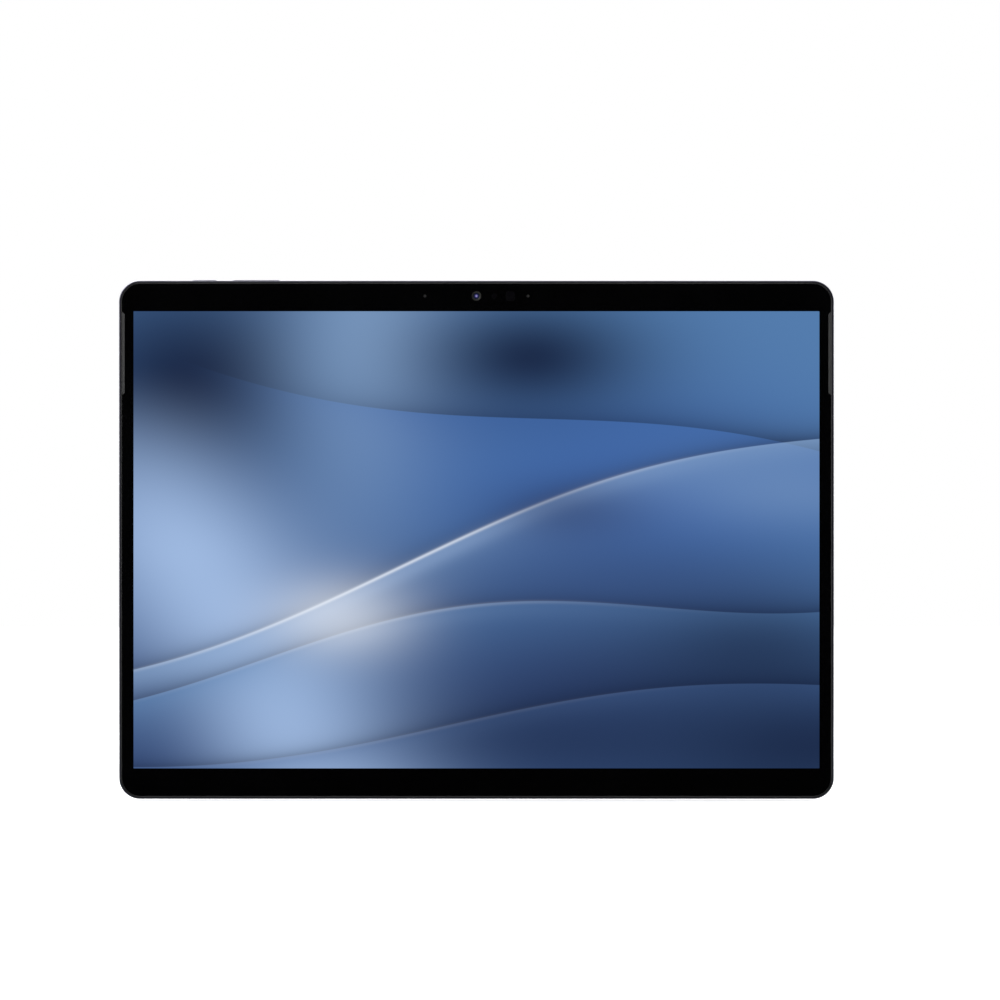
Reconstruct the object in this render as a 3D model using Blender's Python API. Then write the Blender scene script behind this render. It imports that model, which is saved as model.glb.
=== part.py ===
"""A tablet computer of the 13-inch class, as the separate pieces it is assembled from.

Metres, +Z up. The tablet stands upright with its screen towards -Y, so X is its width, Z its height
and Y its depth. The origin is the centre of the flat bottom edge, at mid-depth. Left and right are
the viewer's, facing the screen: left is -X. Two pieces move: the power button and the volume rocker.
"""
import math

import bmesh
import bpy
from mathutils import Matrix

# Overall size
BODY_WIDTH = 0.2856
BODY_HEIGHT = 0.2070
BODY_DEPTH = 0.0090
CORNER_RADIUS = 0.0084

# Clearances
BOND_GAP = 0.0001  # between pieces glued, soldered or screwed to each other
REST_GAP = 0.0003  # between layers that lie on each other
PART_GAP = 0.0010  # between neighbours inside the bay

# Housing
SIDE_WALL = 0.0020
BACK_WALL = 0.0010
RIM_WIDTH = 0.0007
BACK_EDGE_ROUND = 0.0009
FRONT_EDGE_CHAMFER = 0.00015

# Display stack, from the front
GLASS_THICKNESS = 0.0008
FRAME_WALL = 0.00035
FRAME_FLANGE = 0.0026
FRAME_THICKNESS = 0.0007
TAPE_THICKNESS = 0.0003
TAPE_WIDTH = 0.0019
BEZEL_SIDE = 0.0058
BEZEL_TOP = 0.0122
PANEL_SIDE_BORDER = 0.0018
PANEL_TOP_BORDER = 0.0030
PANEL_BOTTOM_BORDER = 0.0050
PANEL_THICKNESS = 0.0010
BACKLIGHT_THICKNESS = 0.0012
MID_THICKNESS = 0.0006
MID_SIDE_INSET = 0.0040

# Speakers, one behind each side bezel
SLOT_TOP = 0.0126
SLOT_LENGTH = 0.0329
SLOT_WIDTH = 0.0010
SLOT_CHAMFER = 0.0008
GRILLE_RECESS = 0.00015
GRILLE_THICKNESS = 0.0006
DUCT_WIDTH = 0.0007
DUCT_THICKNESS = 0.0011
DUCT_INNER = 0.0036
SPEAKER_WIDTH = 0.0216
SPEAKER_HEIGHT = 0.0320
RISER_HEIGHT = 0.008
SPEAKER_TOP = 0.0470
SPEAKER_CONE_RADIUS = 0.0070
SPEAKER_CONE_HEIGHT = 0.0004

# Rear camera, turned about its optical axis
RING_RADIUS = 0.00735
RING_WIDTH = 0.0010
RING_EDGE = 0.0002
RING_PROUD = 0.0012
RING_LIP = 0.00105
RING_LIP_THICKNESS = 0.0005
CAMERA_SIDE_CLEARANCE = 0.0008
CAMERA_TOP_CLEARANCE = 0.00116
CONE_WIDTH = 0.00105
CONE_DROP = 0.0005
TRIM_OUTER = 0.00470
TRIM_INNER = 0.00310
TRIM_PROUD = 0.0003
WINDOW_THICKNESS = 0.0005
WINDOW_RECESS = 0.0001
CAMERA_BOX = 0.0100
CAMERA_NECK_RADIUS = 0.0045
CAMERA_BARREL_RADIUS = 0.0028

# Front camera, microphones and sensors, in one row behind the top bezel
SENSOR_ROW_TOP = 0.0061
FRONT_CAMERA_SIZE = 0.0048
FRONT_CAMERA_RADIUS = 0.0017
MICROPHONE_OFFSET = 0.0206
MICROPHONE_HOLE_RADIUS = 0.0006
MICROPHONE_SIZE = (0.0032, 0.0026)
LIGHT_SENSOR_OFFSET = 0.0071
LIGHT_SENSOR_SIZE = (0.0022, 0.0022)
PROXIMITY_OFFSET = 0.0135
PROXIMITY_SIZE = (0.0036, 0.0040)
SENSOR_BOARD_LENGTH = 0.0456
SENSOR_BOARD_HEIGHT = 0.0050
SENSOR_BOARD_THICKNESS = 0.0006
ANTENNA_LENGTH = 0.0130
ANTENNA_THICKNESS = 0.0009

# Keys on the top edge, placed from the left side
POWER_LENGTH = 0.0096
POWER_FROM_SIDE = 0.0340
POWER_TRAVEL = 0.00025
ROCKER_LENGTH = 0.0190
ROCKER_FROM_SIDE = 0.0546
ROCKER_SWING_DEG = 1.3
KEY_WIDTH = 0.0024
KEY_PROUD = 0.00035
KEY_CHAMFER_SHARE = 1 / 3
KEY_END_GAP = 0.00015
KEY_FLANGE = 0.0010
KEY_FLANGE_THICKNESS = 0.0006
KEY_STOP_GAP = 0.0001
ROCKER_LIFT_GAP = 0.00035
PLUNGER_LENGTH = 0.0016
ROCKER_PLUNGER_OFFSET = 0.0060
SWITCH_DEPTH = 0.0017  # from the wall's inner face down to the switches
SWITCH_HEIGHT = 0.0012
SWITCH_LENGTH = 0.0030
SWITCH_WIDTH = 0.0016
BRACKET_THICKNESS = 0.0007
BRACKET_EAR_WIDTH = 0.0044
BRACKET_EAR_DROP = 0.0036
FULCRUM_WIDTH = 0.0016
FULCRUM_THICKNESS = 0.0004

# Port on the left side, placed from the top
PORT_TOP = 0.0316
PORT_LENGTH = 0.00894
PORT_HEIGHT = 0.0032
PORT_DEPTH = 0.00735
PORT_SHELL = 0.0003
PORT_RECESS = 0.0002
TONGUE_WIDTH = 0.0067
TONGUE_THICKNESS = 0.0007
TONGUE_RECESS = 0.0010
TONGUE_BASE = 0.0018
PORT_BOARD_WIDTH = 0.0142
PORT_BOARD_HEIGHT = 0.0190

# Main board, its shields in a centred row, and the battery under it
BOARD_THICKNESS = 0.0006
BOARD_STANDOFF = 0.0009
BOARD_TOP = 0.0110
BOARD_HEIGHT = 0.0620
BOARD_SIDE_GAP = 0.0068
SHIELD_GAP = 0.0040
SHIELD_FROM_TOP = 0.0140
RADIO_SHIELD = (0.022, 0.026)
POWER_SHIELD = (0.018, 0.030)
PROCESSOR_SHIELD = (0.044, 0.040)
MEMORY_SHIELD = (0.024, 0.036)
DISPLAY_CABLE_WIDTH = 0.0200
SPREADER_THICKNESS = 0.0002
SPREADER_MARGIN = 0.0030
CABLE_THICKNESS = 0.0001
SENSOR_CABLE_REACH = 0.010
SENSOR_CABLE_STRAIGHT = 0.004
DISPLAY_CABLE_DROPS = (0.008, 0.018, 0.024)
CABLE_WIDTH = 0.0060
BATTERY_SIDE_INSET = 0.0042
BATTERY_BOTTOM_INSET = 0.0085
BATTERY_BOARD_LENGTH = 0.0800
BATTERY_BOARD_HEIGHT = 0.0070
BATTERY_BOARD_GAP = 0.0015

# Screws and the posts that take them
SCREW_RADIUS = 0.0007
SCREW_HEAD_RADIUS = 0.0012
SCREW_HEAD_HEIGHT = 0.0005
SCREW_SOCKET_RADIUS = 0.0005
SCREW_SOCKET_DEPTH = 0.0003
POST_RADIUS = 0.0016
POST_FLOOR = 0.0005  # metal left under a screw's hole
BOARD_SCREW_INSET = 0.0080
BOARD_SCREW_END_INSET = 0.0040
MID_SCREW_TOP = 0.0056
MID_SCREW_BOTTOM = 0.0050
MID_SCREW_SIDE = 0.0428

# Facets of curved outlines
CORNER_STEPS = 8
SMALL_STEPS = 4
EDGE_STEPS = 3
TURNED_STEPS = 40
BARREL_STEPS = 24
SCREW_STEPS = 12
FULL_ROUND = 0.999
SHARP_DEG = 30
STRAIGHT = 0.999
NEAR = 1e-6
SAME_POINT = 1e-7

# Depths that follow from the stack
FRONT = -BODY_DEPTH / 2
BACK = BODY_DEPTH / 2
BAY_WALL = BACK - BACK_WALL
GLASS_BACK = FRONT + GLASS_THICKNESS
TAPE_FRONT = GLASS_BACK + BOND_GAP
TAPE_BACK = TAPE_FRONT + TAPE_THICKNESS
FLANGE_FRONT = TAPE_BACK + BOND_GAP
FLANGE_BACK = FLANGE_FRONT + FRAME_THICKNESS
LEDGE = FLANGE_BACK + BOND_GAP
PANEL_BACK = TAPE_FRONT + PANEL_THICKNESS
BACKLIGHT_FRONT = PANEL_BACK + BOND_GAP
BACKLIGHT_BACK = BACKLIGHT_FRONT + BACKLIGHT_THICKNESS
MID_FRONT = BACKLIGHT_BACK + REST_GAP
MID_BACK = MID_FRONT + MID_THICKNESS
BAY_FRONT = MID_BACK + REST_GAP
BAY_BACK = BAY_WALL - REST_GAP
BAY_MIDDLE = (BAY_FRONT + BAY_BACK) / 2
BOARD_BACK = BAY_WALL - BOARD_STANDOFF - BOND_GAP
BOARD_FRONT = BOARD_BACK - BOARD_THICKNESS
SPREADER_FRONT = MID_BACK + BOND_GAP
SPREADER_BACK = SPREADER_FRONT + SPREADER_THICKNESS
CABLE_BACK = BOARD_FRONT - BOND_GAP
CABLE_FRONT = CABLE_BACK - CABLE_THICKNESS
SENSOR_BOARD_BACK = MID_FRONT - REST_GAP
SENSOR_BOARD_FRONT = SENSOR_BOARD_BACK - SENSOR_BOARD_THICKNESS
SENSOR_BACK = SENSOR_BOARD_FRONT - BOND_GAP

# Insets from the outline that follow from the rim
FRAME_INSET = RIM_WIDTH + BOND_GAP
GLASS_INSET = FRAME_INSET + FRAME_WALL + BOND_GAP
INNER_TOP = BODY_HEIGHT - SIDE_WALL

# Places that follow
RING_LIP_RADIUS = RING_RADIUS + RING_LIP
CAMERA_X = -BODY_WIDTH / 2 + SIDE_WALL + CAMERA_SIDE_CLEARANCE + RING_LIP_RADIUS
CAMERA_Z = INNER_TOP - CAMERA_TOP_CLEARANCE - RING_LIP_RADIUS
SENSOR_Z = BODY_HEIGHT - SENSOR_ROW_TOP
POWER_X = -BODY_WIDTH / 2 + POWER_FROM_SIDE
ROCKER_X = -BODY_WIDTH / 2 + ROCKER_FROM_SIDE
SWITCH_TOP = INNER_TOP - SWITCH_DEPTH
SWITCH_BOTTOM = SWITCH_TOP - SWITCH_HEIGHT
ROCKER_PIVOT_Z = INNER_TOP - ROCKER_LIFT_GAP - KEY_FLANGE_THICKNESS
KEY_CABLE_TOP = SWITCH_BOTTOM - BOND_GAP
SHELF_TOP = KEY_CABLE_TOP - CABLE_THICKNESS - BOND_GAP
EAR_OFFSET = KEY_FLANGE + BRACKET_EAR_WIDTH / 2 + PART_GAP
EAR_LEFT_X = POWER_X - POWER_LENGTH / 2 - EAR_OFFSET
EAR_RIGHT_X = ROCKER_X + ROCKER_LENGTH / 2 + EAR_OFFSET
EAR_SCREW_Z = SHELF_TOP - BRACKET_THICKNESS - POST_RADIUS
PORT_Z = BODY_HEIGHT - PORT_TOP
BOARD_Z = (BODY_HEIGHT - BOARD_TOP - BOARD_HEIGHT, BODY_HEIGHT - BOARD_TOP)
BOARD_HALF = BODY_WIDTH / 2 - SIDE_WALL - SPEAKER_WIDTH - BOARD_SIDE_GAP
BATTERY_BOARD_TOP = BOARD_Z[0] - BATTERY_BOARD_GAP
BATTERY_TOP = BATTERY_BOARD_TOP - BATTERY_BOARD_HEIGHT - BATTERY_BOARD_GAP
MID_POST_X = -(EAR_RIGHT_X + BRACKET_EAR_WIDTH / 2 + PART_GAP + POST_RADIUS)
ANTENNA_OUTER_X = MID_POST_X - SCREW_HEAD_RADIUS - PART_GAP

MATERIALS = {
    "anodised_aluminium": ((0.34, 0.33, 0.39), 1.0, 0.42),
    "key_aluminium": ((0.36, 0.35, 0.41), 1.0, 0.32),
    "cover_glass": ((0.005, 0.005, 0.006), 0.0, 0.04),
    "black_plastic": ((0.03, 0.03, 0.03), 0.0, 0.45),
    "foam_tape": ((0.02, 0.02, 0.02), 0.0, 0.90),
    "display_film": ((0.03, 0.10, 0.35), 0.0, 0.20),
    "magnesium": ((0.45, 0.45, 0.46), 1.0, 0.50),
    "grille_mesh": ((0.05, 0.05, 0.05), 0.6, 0.60),
    "chrome": ((0.80, 0.80, 0.82), 1.0, 0.08),
    "black_gloss": ((0.010, 0.010, 0.014), 0.2, 0.08),
    "satin_steel": ((0.70, 0.70, 0.70), 1.0, 0.30),
    "lens_glass": ((0.02, 0.02, 0.05), 0.0, 0.02),
    "circuit_board": ((0.02, 0.12, 0.07), 0.0, 0.45),
    "flex_cable": ((0.35, 0.16, 0.04), 0.0, 0.40),
    "shield_steel": ((0.62, 0.62, 0.60), 1.0, 0.35),
    "copper": ((0.72, 0.38, 0.22), 1.0, 0.35),
    "battery_foil": ((0.10, 0.10, 0.11), 0.3, 0.50),
}


def clear_scene():
    for item in list(bpy.data.objects):
        bpy.data.objects.remove(item)


def material(name):
    found = bpy.data.materials.get(name)
    if found:
        return found
    colour, metallic, roughness = MATERIALS[name]
    made = bpy.data.materials.new(name)
    made.use_nodes = True
    shader = made.node_tree.nodes["Principled BSDF"]
    shader.inputs["Base Color"].default_value = (*colour, 1.0)
    shader.inputs["Metallic"].default_value = metallic
    shader.inputs["Roughness"].default_value = roughness
    return made


def place(bm, name, location, parent, finish=None):
    """Turn a bmesh into an object. One without a finish is a tool, hidden and left out of the model."""
    bmesh.ops.recalc_face_normals(bm, faces=bm.faces)
    mesh = bpy.data.meshes.new(name)
    bm.to_mesh(mesh)
    bm.free()
    made = bpy.data.objects.new(name, mesh)
    bpy.context.scene.collection.objects.link(made)
    made.location = location
    made.parent = parent
    if finish:
        mesh.materials.append(material(finish))
    else:
        made.hide_render = True
        made.display_type = "WIRE"
    return made


def along(edge, axis):
    """Whether an edge runs along an axis, 0 for X, 1 for Y and 2 for Z."""
    run = (edge.verts[0].co - edge.verts[1].co).normalized()
    return abs(run[axis]) > STRAIGHT


def round_edges(bm, edges, radius, steps):
    bmesh.ops.bevel(bm, geom=edges, offset=radius, offset_type="OFFSET", segments=steps,
                    profile=0.5, affect="EDGES", clamp_overlap=False, material=-1)


def block_bmesh(size, radius=0.0, axis=1, steps=SMALL_STEPS):
    """A centred block with its four edges along one axis rounded."""
    bm = bmesh.new()
    bmesh.ops.create_cube(bm, size=1.0, matrix=Matrix.Diagonal((*size, 1.0)))
    if radius:
        round_edges(bm, [edge for edge in bm.edges if along(edge, axis)], radius, steps)
    return bm


def block(name, x, y, z, parent, finish=None, radius=0.0, axis=1, steps=SMALL_STEPS):
    """A block between the given limits on each axis."""
    limits = (x, y, z)
    size = [high - low for low, high in limits]
    centre = [(low + high) / 2 for low, high in limits]
    return place(block_bmesh(size, radius, axis, steps), name, centre, parent, finish)


def turned_bmesh(profile, steps):
    """Spin a profile of (radius, depth) points about the Y axis. It is closed, or ends on the axis."""
    bm = bmesh.new()
    points = [bm.verts.new((radius, depth, 0.0)) for radius, depth in profile]
    edges = [bm.edges.new(pair) for pair in zip(points, points[1:])]
    if profile[0][0] > 0.0:
        edges.append(bm.edges.new((points[-1], points[0])))
    bmesh.ops.spin(bm, geom=points + edges, cent=(0, 0, 0), axis=(0, 1, 0), dvec=(0, 0, 0),
                   angle=math.tau, steps=steps, use_merge=True)
    bmesh.ops.remove_doubles(bm, verts=bm.verts, dist=SAME_POINT)
    return bm


def turned(name, profile, centre, parent, finish=None, steps=TURNED_STEPS):
    made = place(turned_bmesh(profile, steps), name, centre, parent, finish)
    made.data.shade_smooth()
    made.data.set_sharp_from_angle(angle=math.radians(SHARP_DEG))
    return made


def rod_profile(radius, front, back):
    return [(0.0, front), (radius, front), (radius, back), (0.0, back)]


def strip(name, path, width, centre, parent, finish=None):
    """A flat cable: a path of (depth, height) points, as wide as given along X."""
    bm = bmesh.new()
    points = [bm.verts.new((-width / 2, depth, height)) for depth, height in path]
    edges = [bm.edges.new(pair) for pair in zip(points, points[1:])]
    swept = bmesh.ops.extrude_edge_only(bm, edges=edges)["geom"]
    moved = [item for item in swept if isinstance(item, bmesh.types.BMVert)]
    bmesh.ops.translate(bm, verts=moved, vec=(width, 0, 0))
    made = place(bm, name, centre, parent, finish)
    wall = made.modifiers.new("thickness", "SOLIDIFY")
    wall.thickness = CABLE_THICKNESS
    wall.offset = 0.0
    return made


def combine(target, tool, operation):
    change = target.modifiers.new(tool.name, "BOOLEAN")
    change.operation = operation
    change.solver = "EXACT"
    change.object = tool


def cut(target, *tools):
    for tool in tools:
        combine(target, tool, "DIFFERENCE")


def join(target, *tools):
    for tool in tools:
        combine(target, tool, "UNION")


def outline(name, y, inset, parent, finish=None):
    """A plate that follows the body's outline at an inset, between two depths."""
    x = (-BODY_WIDTH / 2 + inset, BODY_WIDTH / 2 - inset)
    z = (inset, BODY_HEIGHT - inset)
    radius = CORNER_RADIUS - inset
    return block(name, x, y, z, parent, finish, radius, steps=CORNER_STEPS)


def side_limits(side, outer, inner):
    """X limits between two insets from the left (-1) or right (+1) side, in rising order."""
    return tuple(sorted((side * (BODY_WIDTH / 2 - outer), side * (BODY_WIDTH / 2 - inner))))


def around(centre, size):
    return (centre - size / 2, centre + size / 2)


def board_screw_places():
    x = BOARD_HALF - BOARD_SCREW_INSET
    low, high = BOARD_Z
    heights = (low + BOARD_SCREW_END_INSET, high - BOARD_SCREW_END_INSET)
    return [(side * x, height) for height in heights for side in (-1, 1)]


def ear_screw_places():
    return [(EAR_LEFT_X, EAR_SCREW_Z), (EAR_RIGHT_X, EAR_SCREW_Z)]


def mid_screw_places():
    top, bottom = BODY_HEIGHT - MID_SCREW_TOP, MID_SCREW_BOTTOM
    low_x = BODY_WIDTH / 2 - MID_SCREW_SIDE
    return [(-MID_POST_X, top), (MID_POST_X, top), (-low_x, bottom), (low_x, bottom)]


def rods(name, places, radius, front, back, parent, steps=SCREW_STEPS):
    """A tool of several rods along Y, one at each (x, z) place."""
    bm = bmesh.new()
    for x, z in places:
        turn = Matrix.Translation((x, (front + back) / 2, z)) @ Matrix.Rotation(math.pi / 2, 4, "X")
        bmesh.ops.create_cone(bm, cap_ends=True, segments=steps, radius1=radius, radius2=radius,
                              depth=back - front, matrix=turn)
    return place(bm, name, (0, 0, 0), parent)


def speaker_slot(name, side, y, margin, parent, finish=None):
    """The long strip in a side bezel, with its inner corners cut off, grown by a margin."""
    inner = GLASS_INSET + SLOT_WIDTH + margin
    outer = GLASS_INSET if finish else 0.0
    x = side_limits(side, outer, inner)
    z = (BODY_HEIGHT - SLOT_TOP - SLOT_LENGTH - margin, BODY_HEIGHT - SLOT_TOP + margin)
    bm = block_bmesh([high - low for low, high in (x, y, z)])
    inner_edges = [edge for edge in bm.edges if along(edge, 1) and edge.verts[0].co.x * side < 0]
    bmesh.ops.bevel(bm, geom=inner_edges, offset=SLOT_CHAMFER, offset_type="OFFSET", segments=1,
                    profile=0.5, affect="EDGES", material=-1)
    centre = [(low + high) / 2 for low, high in (x, y, z)]
    return place(bm, name, centre, parent, finish)


def speaker_duct(name, side, y, parent):
    """A tool for the sound's way from a slot down through the layers under it."""
    x = side_limits(side, GLASS_INSET + BOND_GAP, GLASS_INSET + BOND_GAP + DUCT_WIDTH)
    z = (BODY_HEIGHT - SLOT_TOP - SLOT_LENGTH + SLOT_CHAMFER, BODY_HEIGHT - SLOT_TOP - SLOT_CHAMFER)
    return block(name, x, y, z, parent)


def rear_housing(parent):
    size = (BODY_WIDTH, BODY_DEPTH, BODY_HEIGHT)
    bm = block_bmesh(size, CORNER_RADIUS, steps=CORNER_STEPS)
    back = [edge for edge in bm.edges if all(abs(v.co.y - BACK) < NEAR for v in edge.verts)]
    round_edges(bm, back, BACK_EDGE_ROUND, EDGE_STEPS)
    front = [edge for edge in bm.edges if all(abs(v.co.y - FRONT) < NEAR for v in edge.verts)]
    round_edges(bm, front, FRONT_EDGE_CHAMFER, 1)
    housing = place(bm, "rear_housing", (0, 0, BODY_HEIGHT / 2), parent, "anodised_aluminium")
    cut(housing, outline("display_recess_tool", (FRONT - PART_GAP, LEDGE), RIM_WIDTH, parent))
    cut(housing, outline("bay_tool", (LEDGE - PART_GAP, BAY_WALL), SIDE_WALL, parent))
    join(housing, housing_posts(parent))
    cut(housing, *housing_holes(parent))
    for side, word in ((-1, "left"), (1, "right")):
        x = side_limits(side, GLASS_INSET + BOND_GAP, SIDE_WALL + PART_GAP)
        z = (BODY_HEIGHT - SPEAKER_TOP - 2 * PART_GAP, BODY_HEIGHT - SLOT_TOP)
        pocket = (LEDGE - PART_GAP, duct_back() + BOND_GAP)
        cut(housing, block(f"sound_pocket_tool_{word}", x, pocket, z, parent))


def housing_posts(parent):
    """Every screw post, joined into one tool. Each starts inside the back wall."""
    root = BAY_WALL + BACK_WALL / 2
    low = rods("low_posts_tool", board_screw_places() + ear_screw_places(), POST_RADIUS,
               BOARD_BACK + BOND_GAP, root, parent)
    high = rods("high_posts_tool", mid_screw_places(), POST_RADIUS, MID_BACK + BOND_GAP, root, parent)
    join(low, high)
    return low


def housing_holes(parent):
    floor = BACK - POST_FLOOR
    places = board_screw_places() + ear_screw_places() + mid_screw_places()
    radius = SCREW_RADIUS + BOND_GAP
    yield rods("screw_holes_tool", places, radius, MID_FRONT, floor, parent)
    yield rods("camera_hole_tool", [(CAMERA_X, CAMERA_Z)], RING_RADIUS + BOND_GAP,
               BAY_WALL - PART_GAP, BACK + PART_GAP, parent, TURNED_STEPS)
    y = around(BAY_MIDDLE, KEY_WIDTH + 2 * BOND_GAP)
    z = (INNER_TOP - PART_GAP, BODY_HEIGHT + PART_GAP)
    for name, centre, length in (("power", POWER_X, POWER_LENGTH), ("rocker", ROCKER_X, ROCKER_LENGTH)):
        x = around(centre, length + 2 * KEY_END_GAP)
        yield block(f"{name}_slot_tool", x, y, z, parent, None, (y[1] - y[0]) / 2 * FULL_ROUND, axis=2)
    height = PORT_HEIGHT + 2 * BOND_GAP
    yield block("port_hole_tool", side_limits(-1, -PART_GAP, SIDE_WALL + PART_GAP),
                around(BAY_MIDDLE, height), around(PORT_Z, PORT_LENGTH + 2 * BOND_GAP), parent, None,
                height / 2 * FULL_ROUND, axis=0)


def glass_frame(parent):
    """The plastic ring between rim and glass, with a flange under the glass's edge."""
    frame = outline("glass_frame", (FRONT, FLANGE_BACK), FRAME_INSET, parent, "black_plastic")
    inner = FRAME_INSET + FRAME_FLANGE
    cut(frame, outline("frame_opening_tool", (FRONT - PART_GAP, LEDGE), inner, parent))
    seat = FRAME_INSET + FRAME_WALL
    cut(frame, outline("frame_seat_tool", (FRONT - PART_GAP, FLANGE_FRONT), seat, parent))
    for side, word in ((-1, "left"), (1, "right")):
        cut(frame, speaker_duct(f"frame_duct_tool_{word}", side, (FLANGE_FRONT - PART_GAP, LEDGE), parent))


def display_tape(parent):
    """A foam tape ring that bonds the glass to the frame and seals it."""
    tape = outline("display_tape", (TAPE_FRONT, TAPE_BACK), GLASS_INSET, parent, "foam_tape")
    y = (TAPE_FRONT - PART_GAP, TAPE_BACK + PART_GAP)
    cut(tape, outline("tape_opening_tool", y, GLASS_INSET + TAPE_WIDTH, parent))
    for side, word in ((-1, "left"), (1, "right")):
        cut(tape, speaker_duct(f"tape_duct_tool_{word}", side, y, parent))


def cover_glass(parent):
    glass = outline("cover_glass", (FRONT, GLASS_BACK), GLASS_INSET, parent, "cover_glass")
    y = (FRONT - PART_GAP, GLASS_BACK + PART_GAP)
    for side, word in ((-1, "left"), (1, "right")):
        cut(glass, speaker_slot(f"glass_slot_tool_{word}", side, y, BOND_GAP, parent))
    places = [(side * MICROPHONE_OFFSET, SENSOR_Z) for side in (-1, 1)]
    cut(glass, rods("microphone_holes_tool", places, MICROPHONE_HOLE_RADIUS, *y, parent))


def display_panel(parent):
    """The panel behind the glass and the backlight behind the panel."""
    half = BODY_WIDTH / 2 - BEZEL_SIDE + PANEL_SIDE_BORDER
    x = (-half, half)
    z = (BEZEL_TOP - PANEL_BOTTOM_BORDER, BODY_HEIGHT - BEZEL_TOP + PANEL_TOP_BORDER)
    block("lcd_panel", x, (TAPE_FRONT, PANEL_BACK), z, parent, "display_film")
    block("backlight_unit", x, (BACKLIGHT_FRONT, BACKLIGHT_BACK), z, parent, "satin_steel")


def mid_frame(parent):
    """The stiff plate that carries the display and covers the electronics bay."""
    half = BODY_WIDTH / 2 - MID_SIDE_INSET
    edge = SIDE_WALL + REST_GAP
    plate = block("mid_frame", (-half, half), (MID_FRONT, MID_BACK), (edge, BODY_HEIGHT - edge),
                  parent, "magnesium", CORNER_RADIUS - MID_SIDE_INSET)
    y = (MID_FRONT - PART_GAP, MID_BACK + PART_GAP)
    cut(plate, rods("mid_screw_holes_tool", mid_screw_places(), SCREW_RADIUS + BOND_GAP, *y, parent))
    low, high = sensor_cable_slot()
    cut(plate, block("sensor_cable_slot_tool", around(0, CABLE_WIDTH + 2 * PART_GAP), y, (low, high), parent))
    low, high = display_cable_slot()
    x = around(display_cable_x(), DISPLAY_CABLE_WIDTH + 2 * PART_GAP)
    cut(plate, block("display_cable_slot_tool", x, y, (low, high), parent))


def screw(name, x, z, seat, tip, parent):
    """A pan-head screw along +Y with a socket in its head."""
    head = seat - SCREW_HEAD_HEIGHT
    profile = [
        (0.0, head + SCREW_SOCKET_DEPTH),
        (SCREW_SOCKET_RADIUS, head + SCREW_SOCKET_DEPTH),
        (SCREW_SOCKET_RADIUS, head),
        (SCREW_HEAD_RADIUS, head),
        (SCREW_HEAD_RADIUS, seat),
        (SCREW_RADIUS, seat),
        (SCREW_RADIUS, tip),
        (0.0, tip),
    ]
    turned(name, profile, (x, 0, z), parent, "satin_steel", SCREW_STEPS)


def screws(parent):
    tip = BACK - POST_FLOOR - BOND_GAP
    groups = (
        ("mid_frame_screw", mid_screw_places(), MID_FRONT - BOND_GAP),
        ("main_board_screw", board_screw_places(), BOARD_FRONT - BOND_GAP),
        ("button_bracket_screw", ear_screw_places(), BOARD_FRONT - BOND_GAP),
    )
    for name, places, seat in groups:
        for number, (x, z) in enumerate(places, 1):
            screw(f"{name}_{number}", x, z, seat, tip, parent)


def duct_back():
    """The back of a speaker's sound duct, which runs behind the glass frame's flange."""
    return LEDGE + BOND_GAP + DUCT_THICKNESS


def speaker(word, side, parent):
    """A grille in the bezel, and the sealed speaker box whose duct leads up behind it."""
    y = (FRONT + GRILLE_RECESS, FRONT + GRILLE_RECESS + GRILLE_THICKNESS)
    speaker_slot(f"speaker_grille_{word}", side, y, 0.0, parent, "grille_mesh")
    top = BODY_HEIGHT - SPEAKER_TOP
    outer = SIDE_WALL + REST_GAP
    x = side_limits(side, outer, outer + SPEAKER_WIDTH)
    z = (top - SPEAKER_HEIGHT, top)
    box = block(f"speaker_module_{word}", x, (BAY_FRONT, BAY_BACK - SPEAKER_CONE_HEIGHT), z, parent,
                "black_plastic", PART_GAP)
    duct_x = side_limits(side, GLASS_INSET + 2 * BOND_GAP, DUCT_INNER)
    duct_y = (LEDGE + BOND_GAP, duct_back())
    duct_z = (top - PART_GAP, BODY_HEIGHT - SLOT_TOP - SLOT_CHAMFER)
    riser_x = side_limits(side, outer, DUCT_INNER)
    riser_y = (duct_back() - BOND_GAP, BAY_FRONT + PART_GAP)
    riser_z = (top - RISER_HEIGHT, top - BOND_GAP)
    join(box, block(f"riser_tool_{word}", riser_x, riser_y, riser_z, parent))
    join(box, block(f"duct_tool_{word}", duct_x, duct_y, duct_z, parent))
    join(box, rods(f"cone_tool_{word}", [((x[0] + x[1]) / 2, (z[0] + z[1]) / 2)], SPEAKER_CONE_RADIUS,
                   BAY_FRONT + PART_GAP, BAY_BACK, parent, TURNED_STEPS // 2))


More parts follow.
